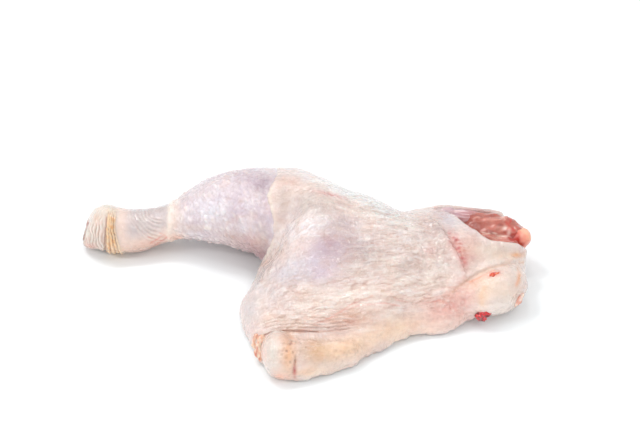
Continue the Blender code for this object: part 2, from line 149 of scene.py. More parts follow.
def closed_curve(points, n):
    p = np.asarray(points, float)
    out = []
    for i in range(len(p)):
        p0, p1, p2, p3 = p[i - 1], p[i], p[(i + 1) % len(p)], p[(i + 2) % len(p)]
        for t in np.arange(n) / n:
            out.append(
                0.5 * (2 * p1 + (p2 - p0) * t + (2 * p0 - 5 * p1 + 4 * p2 - p3) * t * t
                       + (3 * p1 - p0 - 3 * p2 + p3) * t ** 3)
            )
    return np.array(out)


PLAN_X, PLAN_Y = np.meshgrid(
    np.arange(PLAN_LOW[0], PLAN_HIGH[0] + PLAN_STEP, PLAN_STEP),
    np.arange(PLAN_LOW[1], PLAN_HIGH[1] + PLAN_STEP, PLAN_STEP),
    indexing="ij",
)


def depth_map(curve):
    px, py = PLAN_X.ravel(), PLAN_Y.ravel()
    best, inside = np.full(px.shape, 1e9), np.zeros(px.shape, bool)
    for a, b in zip(curve, np.roll(curve, -1, 0)):
        ab = b - a
        t = np.clip(((px - a[0]) * ab[0] + (py - a[1]) * ab[1]) / (ab @ ab), 0, 1)
        best = np.minimum(best, np.hypot(px - a[0] - t * ab[0], py - a[1] - t * ab[1]))
        if a[1] != b[1]:
            crosses = (a[1] > py) != (b[1] > py)
            inside ^= crosses & (px < (b[0] - a[0]) * (py - a[1]) / (b[1] - a[1]) + a[0])
    return np.where(inside, best, -best).reshape(PLAN_X.shape)


def height_map(posts, reach):
    p = np.array(posts, float)
    apart = np.hypot(p[:, None, 0] - p[None, :, 0], p[:, None, 1] - p[None, :, 1])
    level = p[:, 2].mean()
    bells = np.linalg.solve(
        np.exp(-((apart / reach) ** 2)) + 0.01 * np.eye(len(p)), p[:, 2] - level
    )
    return level + sum(
        c * np.exp(-((PLAN_X - x) ** 2 + (PLAN_Y - y) ** 2) / reach**2)
        for c, (x, y, _) in zip(bells, p)
    )


def read_map(values, x, y):
    i = np.clip((x - PLAN_LOW[0]) / PLAN_STEP, 0, values.shape[0] - 1.001)
    j = np.clip((y - PLAN_LOW[1]) / PLAN_STEP, 0, values.shape[1] - 1.001)
    i0, j0 = i.astype(int), j.astype(int)
    a, b = i - i0, j - j0
    return (
        values[i0, j0] * (1 - a) * (1 - b) + values[i0 + 1, j0] * a * (1 - b)
        + values[i0, j0 + 1] * (1 - a) * b + values[i0 + 1, j0 + 1] * a * b
    )


THIGH_DEPTH = depth_map(closed_curve(THIGH_PLAN, 8))
THIGH_TOP = height_map(THIGH_HEIGHTS, 30.0)
POCKET_DEPTH = depth_map(closed_curve(POCKET_PLAN, 4))


# ------------------------------------------------------------------ noise
def scramble(ix, iy, iz, seed):
    h = (
        ix.astype(np.uint32) * np.uint32(374761393)
        + iy.astype(np.uint32) * np.uint32(668265263)
        + iz.astype(np.uint32) * np.uint32(2147483647)
        + np.uint32((seed * 974634777 + 12345) & 0xFFFFFFFF)
    )
    h = (h ^ (h >> np.uint32(13))) * np.uint32(1274126177)
    h = (h ^ (h >> np.uint32(16))) * np.uint32(2246822519)
    return h ^ (h >> np.uint32(15))


def spread(h, shift):
    return ((h >> np.uint32(shift)) & np.uint32(1023)).astype(float) / 1023.0


def noise(p, seed=0):
    """Smooth gradient noise, about -1 to 1, of one unit's grain."""
    base = np.floor(p).astype(np.int64)
    f = p - base
    w = f * f * f * (f * (f * 6 - 15) + 10)
    out = np.zeros(len(p))
    for dx in (0, 1):
        for dy in (0, 1):
            for dz in (0, 1):
                h = scramble(base[:, 0] + dx, base[:, 1] + dy, base[:, 2] + dz, seed)
                g = (
                    (spread(h, 0) * 2 - 1) * (f[:, 0] - dx)
                    + (spread(h, 10) * 2 - 1) * (f[:, 1] - dy)
                    + (spread(h, 20) * 2 - 1) * (f[:, 2] - dz)
                )
                out += (
                    g * (w[:, 0] if dx else 1 - w[:, 0])
                    * (w[:, 1] if dy else 1 - w[:, 1]) * (w[:, 2] if dz else 1 - w[:, 2])
                )
    return out * 1.6


def seeds(p, seed=0, jitter=0.9):
    """Distance to the nearest of points strewn one to a unit cell, and a number for it."""
    base = np.floor(p).astype(np.int64)
    best, tag = np.full(len(p), 1e9), np.zeros(len(p))
    flat = p.shape[1] == 2
    for dx in (-1, 0, 1):
        for dy in (-1, 0, 1):
            for dz in ((0,) if flat else (-1, 0, 1)):
                cx, cy = base[:, 0] + dx, base[:, 1] + dy
                cz = np.zeros_like(cx) if flat else base[:, 2] + dz
                h = scramble(cx, cy, cz, seed)
                d = (cx + 0.5 + jitter * (spread(h, 0) - 0.5) - p[:, 0]) ** 2
                d += (cy + 0.5 + jitter * (spread(h, 10) - 0.5) - p[:, 1]) ** 2
                if not flat:
                    d += (cz + 0.5 + jitter * (spread(h, 20) - 0.5) - p[:, 2]) ** 2
                near = d < best
                best = np.where(near, d, best)
                tag = np.where(near, spread(scramble(cx, cy, cz, seed + 7), 5), tag)
    return np.sqrt(best), tag


# ------------------------------------------------------------------ tissue
def drum_section(x):
    s = np.array(DRUMSTICK)
    return tuple(along(x, s[:, 0], s[:, k]) for k in (1, 2, 3, 4))


def drumstick(p):
    x, y, z = p[:, 0], p[:, 1], p[:, 2]
    yc, zc, ry, rz = drum_section(x)
    dy, dz = (y - yc) / ry, (z - zc) / rz
    q = np.hypot(dy, dz) + 1e-9
    f = np.maximum((q - 1) / (np.hypot(dy / ry, dz / rz) / q + 1e-6), -30)
    cut = (x - HOCK_CUT[0]) * HOCK_CUT_NORMAL[0] + (z - HOCK_CUT[1]) * HOCK_CUT_NORMAL[1]
    return smooth_max(smooth_max(f, cut, 5.0), x - 30, 10.0)


def thigh(p):
    x, y = p[:, 0], p[:, 1]
    far = ease(-95, -45, y) * ease(-48, -16, x)
    right = ease(70, 105, x)
    round_w = 9 + 17 * far - 7 * right * far + (4 * right + 5 * ease(15, 55, x)) * (1 - far)
    rim = SKIRT_EDGE + (FAR_RIM - SKIRT_EDGE) * far - 4 * right * far + 6 * right * (1 - far)
    above = np.maximum(read_map(THIGH_TOP, x, y) - rim, 2.0)
    side = np.maximum(1 - read_map(THIGH_DEPTH, x, y) / round_w, 0)
    dz = p[:, 2] - rim
    half = np.where(dz > 0, above, rim + 2.0)
    q = np.hypot(side, dz / half) + 1e-9
    return np.clip((q - 1) / (np.hypot(side / round_w, dz / half**2) / q + 1e-3), -30, 60)


def ellipsoid(p, centre, size, yaw=0.0, pitch=0.0):
    q = p - np.array(centre, float)
    c, s = math.cos(math.radians(yaw)), math.sin(math.radians(yaw))
    x, y, z = q[:, 0] * c + q[:, 1] * s, q[:, 1] * c - q[:, 0] * s, q[:, 2]
    c, s = math.cos(math.radians(pitch)), math.sin(math.radians(pitch))
    q = np.stack([x * c + z * s, y, z * c - x * s], 1) / np.array(size)
    a = np.linalg.norm(q, axis=1) + 1e-9
    return np.clip((a - 1) / (np.linalg.norm(q / np.array(size), axis=1) / a + 1e-6), -30, 200)


def rod(p, a, b, ra, rb):
    a, b = np.array(a, float), np.array(b, float)
    t = np.clip(((p - a) @ (b - a)) / ((b - a) @ (b - a)), 0, 1)
    return np.linalg.norm(p - a - t[:, None] * (b - a), axis=1) - (ra + (rb - ra) * t)


def crease(p, line, r, reach=9.0):
    """Distance to a line of round cord, no more than `reach`."""
    at = np.asarray(line, float)
    out = np.full(len(p), reach)
    near = np.all((p > at.min(0) - reach) & (p < at.max(0) + reach), axis=1)
    if near.any():
        q = p[near]
        out[near] = np.min([rod(q, a, b, 0, 0) for a, b in zip(at[:-1], at[1:])], axis=0)
    return np.minimum(out, reach) - r


def body(p):
    """The whole leg with its pocket closed."""
    f = smooth_min(drumstick(p), thigh(p), 9.0)
    f = smooth_min(f, rod(p, *ROLL), 4.0)
    return smooth_min(f, ellipsoid(p, *FAT), 4.0)


def flap(p, half=1.3):
    top = np.array(FLAP_TOP, float)
    away = np.full(len(p), 1e9)
    for a, b in zip(top[:-1, :2], top[1:, :2]):
        t = np.clip(((p[:, :2] - a) @ (b - a)) / ((b - a) @ (b - a)), 0, 1)
        away = np.minimum(away, np.linalg.norm(p[:, :2] - a - t[:, None] * (b - a), axis=1))
    over = p[:, 2] - np.interp(p[:, 0], top[:, 0], top[:, 2]) + 0.6
    return smooth_max(smooth_max(away - half, over, half), 8.0 - p[:, 2], 1.0)


EDGE_RISE = [-27.0, -22.2, -17.8, -11.1, -4.6, 3.0, 9.5, 14.5, 20.6]
EDGE_X = [-32.1, -29.1, -26.8, -24.7, -24.7, -26.8, -28.4, -26.9, -23.2]


def near_edge_x(p):
    """Where the thigh's skin ends over the drumstick, as x for each height in the main view."""
    near = np.maximum(-57.0 - p[:, 1], 0.0)
    x = np.interp(p @ UP, EDGE_RISE, EDGE_X)
    return x + (-23.4 - x) * ease(-28, -14, p[:, 1]) - 1.5 * near**1.25


def skin_edge(p):
    """Distance outside the edge of the thigh's skin; negative on the thigh."""
    return near_edge_x(p) + 0.6 * noise(p / 6.0, 31) + 0.3 * noise(p / 2.2, 32) - p[:, 0]


SKIN = 0.8   # thickness of the skin drawn over the drumstick


def thigh_skin(p):
    f = body(p)
    f = smooth_min(f, ellipsoid(p, *BULB), 2.0)
    f = smooth_min(f, crease(p, LIP, 1.7), 4.5)
    f = smooth_min(f, crease(p, ROLLED_EDGE, 1.0), 3.0)
    f = smooth_max(f, -1.1 * ease(-8, 14, p[:, 0]) - crease(p, ROLL_LINE, 0.6), 1.0)
    f = smooth_max(f, -cleft(p), 1.0)
    f = smooth_max(f, -crease(p, FAT_CREASE, 0.0), 2.2)
    shift = 1.3 * ease(-42, -50, p[:, 1]) * ease(84, 92, p[:, 0]) * ease(114, 108, p[:, 0])
    pocket = smooth_max(-read_map(POCKET_DEPTH, p[:, 0], p[:, 1] + shift), 11.0 - p[:, 2], 2.0)
    f = smooth_max(f, -pocket, 1.0)
    f = smooth_min(f, flap(p), 1.2)
    f = smooth_max(f, skin_edge(p), 1.0)
    return smooth_max(f, -p[:, 2], 0.3)


BULB = ((-21.6, -118.3, 9.6), (8.0, 10.6, 10.0), 0, 0)
CLEFT = [(-12.4, -118, 17.0), (-12.6, -124, 16.2), (-13.1, -130, 13.0), (-13.4, -133, 8), (-13.6, -133.8, 3)]


def cleft(p):
    """The nick in the roll, deeper towards the table."""
    return crease(p, CLEFT, 0.0) - 0.2 - 0.8 * ease(16.5, 8.0, p[:, 2])



def drum_skin(p):
    f = smooth_min(drumstick(p), thigh(p), 9.0)
    f = smooth_max(f, p[:, 0] + 16, 1.5)
    f = smooth_max(f, -p[:, 1] - 66, 1.5)
    f = smooth_max(f, -dish(p), 1.0)
    return smooth_max(f, -p[:, 2], 0.3)


def dish(p):
    """The hollow in the cut hock."""
    return ellipsoid(p, (-132.6, -25.8, 9.6), (3.8, 6.6, 6.0), 0, -24)


LOBES = [
    ((94.0, -36.4, 20.0), (19.0, 6.8, 11.2), -3, -3),
    ((93, -42.6, 17.8), (20.0, 5.6, 10.4), 2, -1),
    ((92, -49.0, 15.8), (18.5, 6.4, 10.6), 6, 2),
    ((80, -40.0, 20.6), (12.0, 6.4, 7.4), 0, -6),
]
MEMBRANE = ((80, -32.6, 24.8), (15.5, 5.6, 5.8), -2, -7)


def meat(p):
    f = smooth_min(ellipsoid(p, *LOBES[0]), ellipsoid(p, *LOBES[1]), 5.0)
    f = smooth_min(f, ellipsoid(p, *LOBES[2]), 1.6)
    f = smooth_min(f, ellipsoid(p, *LOBES[3]), 2.0)
    return smooth_max(f, -p[:, 2] + 1, 0.5)


def knuckle(p):
    f = ellipsoid(p, (111.2, -42.2, 20.2), (5.8, 5.4, 5.6), 10, 0)
    f = smooth_min(f, ellipsoid(p, (106.6, -44.6, 17.4), (4.2, 4.0, 4.8), 0, 0), 1.8)
    return smooth_min(f, ellipsoid(p, (109.4, -42.4, 13.4), (4.2, 5.0, 6.0), 0, 0), 2.5)


# ------------------------------------------------------------------ from shape to mesh
def net_over(shape, low, high, step, reach=4):
    """Vertices and quads where the shape's surface crosses a grid of cells. Cells far from
    the surface are read from a grid `reach` times as coarse."""
    low = np.array(low, float)
    n = np.ceil((np.array(high) - low) / step).astype(int) + 1
    cn = -(-n // reach) + 1
    cg = np.stack(np.meshgrid(*[np.arange(k) for k in cn], indexing="ij"), -1).reshape(-1, 3)
    coarse = shape(low + step * reach * cg.astype(float)).reshape(cn)
    value = np.empty(n)
    idx = [np.arange(k) / reach for k in n]
    i0 = [np.minimum(a.astype(int), c - 2) for a, c in zip(idx, cn)]
    fr = [a - b for a, b in zip(idx, i0)]
    lines = coarse
    for ax in range(3):
        a = np.take(lines, i0[ax], axis=ax)
        b = np.take(lines, i0[ax] + 1, axis=ax)
        w = fr[ax].reshape([-1 if k == ax else 1 for k in range(3)])
        lines = a * (1 - w) + b * w
    value[:] = lines
    close = np.argwhere(np.abs(value) < 1.3 * step * reach)
    for part in np.array_split(close, max(1, len(close) // 400000)):
        value[tuple(part.T)] = shape(low + step * part.astype(float))
    cells = n - 1
    total, count = np.zeros((cells.prod(), 3)), np.zeros(cells.prod())
    quads = []
    for axis in range(3):
        u, v = (axis + 1) % 3, (axis + 2) % 3
        here = np.moveaxis(value, axis, 0)[:-1]
        there = np.moveaxis(value, axis, 0)[1:]
        at = np.argwhere((here < 0) != (there < 0))
        a, b = here[tuple(at.T)], there[tuple(at.T)]
        order = [axis] + [k for k in range(3) if k != axis]
        cell = np.empty_like(at)
        cell[:, order] = at
        inner = (cell[:, u] > 0) & (cell[:, v] > 0) & (cell[:, u] < cells[u]) & (cell[:, v] < cells[v])
        cell, a, b = cell[inner], a[inner], b[inner]
        point = low + step * cell.astype(float)
        point[:, axis] += step * a / (a - b)
        corner = []
        for du, dv in ((0, 0), (1, 0), (1, 1), (0, 1)):
            c = cell.copy()
            c[:, u] -= du
            c[:, v] -= dv
            flat = np.ravel_multi_index(tuple(c.T), tuple(cells))
            for k in range(3):
                total[:, k] += np.bincount(flat, point[:, k], len(count))
            count += np.bincount(flat, minlength=len(count))
            corner.append(flat)
        quad = np.stack(corner, 1)
        quads.append(np.where((a < 0)[:, None], quad, quad[:, ::-1]))
    used = np.nonzero(count)[0]
    number = np.full(len(count), -1)
    number[used] = np.arange(len(used))
    return total[used] / count[used][:, None], number[np.concatenate(quads)]


def relax(points, quads, amount):
    total, count = np.zeros_like(points), np.zeros(len(points))
    for a, b in ((0, 1), (1, 2), (2, 3), (3, 0), (1, 0), (2, 1), (3, 2), (0, 3)):
        for k in range(3):
            total[:, k] += np.bincount(quads[:, a], points[quads[:, b], k], len(points))
        count += np.bincount(quads[:, a], minlength=len(points))
    return points + amount * (total / count[:, None] - points)


def slope_of(shape, points, e=0.2):
    return np.stack([(shape(points + d) - shape(points - d)) / (2 * e) for d in e * np.eye(3)], 1)


def settle(points, shape, rounds=1):
    for _ in range(rounds):
        slope = slope_of(shape, points)
        move = slope * (shape(points) / np.maximum((slope**2).sum(1), 0.2))[:, None]
        length = np.linalg.norm(move, axis=1)
        points = points - move * np.minimum(1, 1.0 / np.maximum(length, 1e-9))[:, None]
    return points


def surface(shape, low, high, step, rounds=3):
    """A settled net over the shape: points, quads and the outward directions."""
    points, quads = net_over(shape, low, high, step)
    for _ in range(rounds):
        points = settle(relax(points, quads, 0.5), shape)
    return points, quads, face_normals(points, quads)


def face_normals(points, quads):
    n = np.cross(points[quads[:, 2]] - points[quads[:, 0]], points[quads[:, 3]] - points[quads[:, 1]])
    out = np.zeros_like(points)
    for c in range(4):
        for k in range(3):
            out[:, k] += np.bincount(quads[:, c], n[:, k], len(points))
    return out / np.maximum(np.linalg.norm(out, axis=1), 1e-9)[:, None]


# ------------------------------------------------------------------ marks placed in the main view
def seen(p):
    """Where points fall in the main view, in pixels, and how far away they are."""
    d = p - EYE
    far = d @ AHEAD
    return FRAME_W / 2 + PIXELS * (d @ RIGHT) / far, FRAME_H / 2 - PIXELS * (d @ UP) / far, far


def spots_on(shape, marks):
    """The points of the shape's surface seen at the given places of the main view."""
    uv = np.array(marks, float)
    d = AHEAD + ((uv[:, 0] - FRAME_W / 2) / PIXELS)[:, None] * RIGHT \
        + ((FRAME_H / 2 - uv[:, 1]) / PIXELS)[:, None] * UP
    d /= np.linalg.norm(d, axis=1)[:, None]
    t = np.full(len(uv), 840.0)
    low = np.full(len(uv), 1e9)
    at = t.copy()
    for _ in range(130):
        p = EYE + t[:, None] * d
        f = np.minimum(shape(p), p[:, 2] + 0.2)
        at = np.where(np.abs(f) < low, t, at)
        low = np.minimum(low, np.abs(f))
        t = t + np.where(f < 0.03, 0.0, np.clip(f * 0.7, 0.08, 9.0))
    return EYE + at[:, None] * d


def sleeve(p):
    return smooth_min(body(p), crease(p, LIP, 1.7), 4.5)


FAT_CREASE = spots_on(sleeve, FAT_LINE)
ROLLED_EDGE = spots_on(sleeve, [(u - 1.0, v - 3.4) for u, v in FAT_LINE[1:-1]]) - np.array([0.0, 0.0, 1.0])
ROLL_LINE = spots_on(body, [(260, 338.5), (266, 335), (275, 332), (290, 330.5), (303, 331.5), (322, 332), (345, 329.5), (362, 327)])


def blob(p, centre, ru, rv, turn=0.0):
    """1 at a spot, fading over ru by rv pixels of the main view, turned by an angle."""
    u, v, far = seen(p)
    cu, cv, cfar = seen(np.array([centre]))
    a = math.radians(turn)
    du, dv = u - cu[0], v - cv[0]
    x, y = (du * math.cos(a) + dv * math.sin(a)) / ru, (dv * math.cos(a) - du * math.sin(a)) / rv
    deep = 10.0 + 0.9 * max(ru, rv)
    return np.exp(-(x * x + y * y) - ((far - cfar[0]) / deep) ** 2)


def path_distance(p, line):
    return crease(p, line, 0.0)


def rgb(*c):
    c = np.array(c, float) / 255
    return np.where(c <= 0.04045, c / 12.92, ((c + 0.055) / 1.055) ** 2.4)


def mix(colour, other, weight):
    w = np.clip(weight, 0, 1)[:, None]
    return colour * (1 - w) + other * w


def paint(p, colour, shape, marks):
    """Marks are (u, v, ru, rv, turn, colour, strength), in the main view's pixels."""
    centres = spots_on(shape, [m[:2] for m in marks])
    for c, (_, _, ru, rv, turn, tone, strength) in zip(centres, marks):
        colour = mix(colour, tone, strength * blob(p, c, ru, rv, turn))
    return colour


def streaks(p, colour, shape, lines):
    """Lines are (points, radius mm, colour, strength)."""
    for marks, r, tone, strength in lines:
        d = path_distance(p, spots_on(shape, marks))
        colour = mix(colour, tone, strength * np.exp(-((d / r) ** 2)))
    return colour


CREAM, PALE, WHITE_FAT = rgb(236, 217, 205), rgb(240, 230, 223), rgb(244, 233, 222)
LILAC, DEEP_LILAC, GREY_LILAC = rgb(216, 200, 213), rgb(196, 170, 188), rgb(222, 214, 221)
PINK, ROSE, RED = rgb(236, 190, 178), rgb(222, 128, 122), rgb(196, 52, 50)
ORANGE, PEACH, YELLOW = rgb(226, 160, 112), rgb(238, 203, 178), rgb(232, 188, 142)
BROWN, PLUM = rgb(170, 104, 82), rgb(176, 130, 140)


# ------------------------------------------------------------------ building the pieces
def add_mesh(name, points, quads, layers=None, smooth=True):
    mesh = bpy.data.meshes.new(name)
    row = (points - MIDDLE) * 0.001
    mesh.from_pydata(row.tolist(), [], quads.tolist())
    for key, value in (layers or {}).items():
        value = np.asarray(value, float)
        if key == "flow":
            layer = mesh.attributes.new(key, "FLOAT_VECTOR", "POINT")
            layer.data.foreach_set("vector", (value * 0.001).ravel())
        elif value.ndim == 2:
            layer = mesh.attributes.new(key, "FLOAT_COLOR", "POINT")
            layer.data.foreach_set("color", np.c_[np.clip(value, 0, 1), np.ones(len(value))].ravel())
        else:
            layer = mesh.attributes.new(key, "FLOAT", "POINT")
            layer.data.foreach_set("value", value)
    mesh.validate()
    mesh.update()
    made = bpy.data.objects.new(name, mesh)
    bpy.context.scene.collection.objects.link(made)
    if smooth:
        mesh.shade_smooth()
    return made


def on_table(points):
    points[:, 2] = np.maximum(points[:, 2], 0.0)
    return points


def flat_base(obj):
    """The face on the table as a few large polygons."""
    bm = bmesh.new()
    bm.from_mesh(obj.data)
    low = {f for f in bm.faces if all(v.co.z < 1e-7 for v in f.verts)}
    edges = [e for e in bm.edges if len(e.link_faces) == 2 and all(f in low for f in e.link_faces)]
    verts = list({v for e in edges for v in e.verts})
    bmesh.ops.dissolve_limit(bm, angle_limit=0.02, verts=verts, edges=edges)
    bmesh.ops.triangulate(bm, faces=[f for f in bm.faces if len(f.verts) > 4])
    bm.to_mesh(obj.data)
    bm.free()
    return obj


def groove(n, width):
    return np.exp(-((n / width) ** 2))


def make_drum():
    p, quads, n = surface(drum_skin, (-141, -60, -1), (-14.5, 3, 55), 0.5)
    x = p[:, 0]
    yc, zc, ry, rz = drum_section(x)
    turn = np.degrees(np.arctan2(p[:, 2] - zc, -(p[:, 1] - yc)))   # 0 faces the viewer, 90 is on top
    turn = np.where(turn < -90, turn + 360, turn)                   # the far side follows on past 180
    arc = np.radians(turn) * (ry + rz) / 2
    on_drum = 1 - ease(-30, -22, x)
    on_side = 0.15 + 0.85 * ease(0.2, 1.2, dish(p))          # off the cut end
    h = 0.35 * noise(p / 9.0, 1) + 0.12 * noise(p / 3.5, 2)
    # painted shade: how much darker each groove and fold is coloured, sent to the groove attribute
    groove_shade = np.zeros(len(p))
    follicle_pale_and_highlight = np.zeros(len(p))

    # Raised follicles above the shank, longer round the leg than along it
    w = ease(-90, -76, x) * (1 - 0.35 * ease(-50, -24, x))
    uv = np.stack([x / 3.4 + 0.10 * arc, arc / 5.0], 1)
    uv += 0.25 * np.stack([noise(p / 6.0, 3), noise(p / 6.0, 4)], 1)
    d, tag = seeds(uv, 5, 0.55)
    mound = np.exp(-((d / (0.26 + 0.12 * tag)) ** 2)) * (0.3 + 0.7 * tag)
    mound *= 0.65 + 0.35 * ease(-0.3, 0.5, noise(p / 7.0, 6))
    low = 0.6 + 0.4 * ease(50, 5, turn)
    h += 1.05 * w * low * mound
    follicle_pale_and_highlight += w * low * mound
    net = np.abs(noise(np.stack([x / 1.9, arc / 2.6, p[:, 2] * 0], 1), 8))
    h -= 0.16 * w * groove(net, 0.14)
    groove_shade += 0.5 * w * groove(net, 0.12)

    # Ring wrinkles on the knob
    k = ease(-138, -135, x) * (1 - ease(-121.5, -119.5, x)) * (1 - 0.75 * ease(48, 80, turn))
    bend = 3.2 * np.cos(np.radians((turn - 24) * 1.2)) + 1.5 * noise(p / 5.0, 9)
    ring = (x + bend) / 2.0
    cut = np.abs(ring - np.floor(ring) - 0.5) * 2
    cut_ring = cut
    strong = 0.55 + 0.6 * noise(np.stack([np.floor(ring), turn / 55.0, x * 0], 1), 10)
    band = np.exp(-(((1 - cut) / 0.36) ** 2)) * strong * k
    h += k * 0.25 * (1 - cut) - 0.75 * band
    groove_shade += 0.9 * band
    h += 0.20 * k * noise(np.stack([x / 1.3, arc / 4.0, x * 0], 1), 11)

    # Thick fold strands fanning down from the top of the joint
    fan = (x + 117.0 + 0.5 * noise(p / 4.0, 12)) / (1.15 + 1.25 * ease(66, -45, turn))
    strands = ease(-1.6, -1.0, fan) * (1 - ease(2.4, 3.0, fan)) * ease(112, 70, turn) * ease(-100, -75, turn)
    cut = np.abs(fan - np.floor(fan) - 0.5) * 2
    which = noise(np.stack([np.floor(fan) * 1.7, turn / 70.0, x * 0], 1), 19)
    gap = np.exp(-(((1 - cut) / 0.34) ** 2)) * (0.7 + 0.5 * which)
    h += strands * (0.9 + 0.4 * which - 1.9 * gap)
    groove_shade += strands * 0.5 * np.clip(gap, 0, 1)
    strand_tone = strands * (1 - np.clip(gap, 0, 1))
    gap = np.clip(gap, 0, 1)
    trench = np.exp(-(((fan + 1.6) / 0.3) ** 2)) * ease(100, 55, turn) * ease(-95, -70, turn)
    h -= 0.9 * trench
    groove_shade += 0.8 * trench

    # Curved wrinkles on the shank, concentric about a point of its upper side
    about = spots_on(body, [(162, 209)])[0]
    off = p - about
    away = np.linalg.norm(off, axis=1) + 1.1 * noise(p / 6.0, 13)
    sector = ease(1.0, -2.0, off[:, 0] + 0.10 * (off @ UP)) * ease(1.0, -3.0, off @ UP)
    sector = sector * (1 - 0.45 * ease(-10, -15, off[:, 0]))
    s = ease(5.0, 8.0, away) * (1 - ease(17.5, 21.5, away)) * sector
    slant = away / 1.95
    cut = np.abs(slant - np.floor(slant) - 0.5) * 2
    cut_shank = cut
    fold = np.exp(-(((1 - cut) / 0.34) ** 2)) * (0.45 + 0.55 * ease(-0.3, 0.3, noise(p / 4.0, 14)))
    h += s * (0.20 * (1 - cut) - 0.36 * fold)
    groove_shade += 0.30 * s * fold
    s2 = ease(-100, -94, x) * (1 - ease(-80, -76, x)) * (1 - ease(-12, 8, turn)) * ease(-95, -70, turn)
    slant2 = (x + 0.16 * turn + 0.8 * noise(p / 5.0, 15)) / 2.4
    cut = np.abs(slant2 - np.floor(slant2) - 0.5) * 2
    fold2 = np.exp(-(((1 - cut) / 0.26) ** 2)) * ease(-0.2, 0.4, noise(p / 4.0, 16))
    h -= 0.42 * s2 * fold2
    fine = noise(np.stack([x / 1.1, arc / 2.4, x * 0], 1), 17)
    h += 0.06 * fine * ease(-118, -110, x) + 0.12 * noise(p / 2.6, 24) * ease(-118, -110, x)

    # A raised ring where the bare shank ends
    ring_x = x + 84.3 + 0.9 * noise(p / 6.0, 18) - 0.012 * np.abs(turn)
    h += 0.30 * np.exp(-((ring_x / 1.6) ** 2)) - 0.25 * np.exp(-(((ring_x - 2.2) / 0.7) ** 2))
    h *= on_side * on_drum + 0.15
    p = on_table(p + n * h[:, None])

    colour = np.tile(CREAM, (len(p), 1))
    colour = mix(colour, rgb(220, 209, 215), ease(-84, -72, x))
    colour = mix(colour, rgb(194, 190, 194), 0.85 * ease(5, 45, turn) * ease(-112, -104, x) * (1 - ease(-86, -80, x)))
    colour = mix(colour, rgb(222, 192, 176), 0.9 * ease(20, -15, turn) * ease(-113, -106, x) * (1 - ease(-88, -78, x)))
    colour = mix(colour, rgb(200, 182, 197), 0.60 * ease(-0.2, 0.5, noise(p / 12.0, 20)) * ease(-84, -70, x))
    colour = mix(colour, rgb(220, 196, 194), 0.45 * ease(0.0, 0.5, noise(p / 6.0, 25)) * ease(-84, -70, x))
    # darker and pinker towards the drum's underside: the skin's pinker colour there, with painted shade on the lower
    # side
    colour = mix(colour, rgb(212, 180, 174), 0.75 * ease(-8, -48, turn) * ease(-80, -60, x))
    colour = mix(colour, rgb(168, 118, 128), 0.75 * ease(-20, -65, turn) * ease(-62, -34, x))
    colour = mix(colour, rgb(212, 178, 182), 0.5 * ease(100, 165, turn) * ease(-84, -70, x))
    # painted shade between the follicles; the follicles are paler, partly their own colour and partly painted highlight
    colour = mix(colour, colour * np.array([0.95, 0.93, 0.94]), w * (1 - mound))
    colour = mix(colour, rgb(252, 246, 242), 0.95 * follicle_pale_and_highlight)
    colour = mix(colour, colour * np.array([0.97, 0.90, 0.89]), 1 - ease(-88, -78, x))
    colour = mix(colour, colour * np.array([0.82, 0.92, 0.94]), 1 - ease(-118, -108, x))
    colour = mix(colour, rgb(243, 208, 160), 0.85 * strand_tone)
    colour = mix(colour, rgb(236, 176, 118), 0.75 * strands * ease(-0.1, 0.5, noise(p / 2.2, 21)))
    # paler along the top of the strands: painted highlight
    colour = mix(colour, rgb(246, 238, 226), 0.9 * strand_tone * ease(66, 86, turn))
    colour = mix(colour, rgb(244, 228, 210), 0.5 * strand_tone * ease(0.1, 0.5, which))
    # paler ring ridges as painted highlight; brown in the strand gaps, the trench and the ring grooves as painted shade
    colour = mix(colour, rgb(244, 236, 228), 0.5 * k * (1 - cut_ring))
    colour = mix(colour, rgb(188, 120, 84), 0.6 * strands * gap + 0.6 * trench)
    colour = mix(colour, rgb(186, 150, 128), 0.75 * np.clip(band, 0, 1))
    colour = mix(colour, PINK, 0.25 * k * ease(-0.1, 0.5, noise(p / 3.0, 22)))
    # darker fold grooves as painted shade and paler ridges as painted highlight on the shank
    colour = mix(colour, rgb(200, 176, 170), 0.34 * s * fold)
    colour = mix(colour, rgb(240, 228, 220), 0.35 * s * (1 - cut_shank))
    colour = mix(colour, rgb(228, 150, 134), 0.75 * s2 * fold2)
    colour = mix(colour, rgb(244, 232, 220), 0.75 * np.exp(-((ring_x / 1.8) ** 2)))
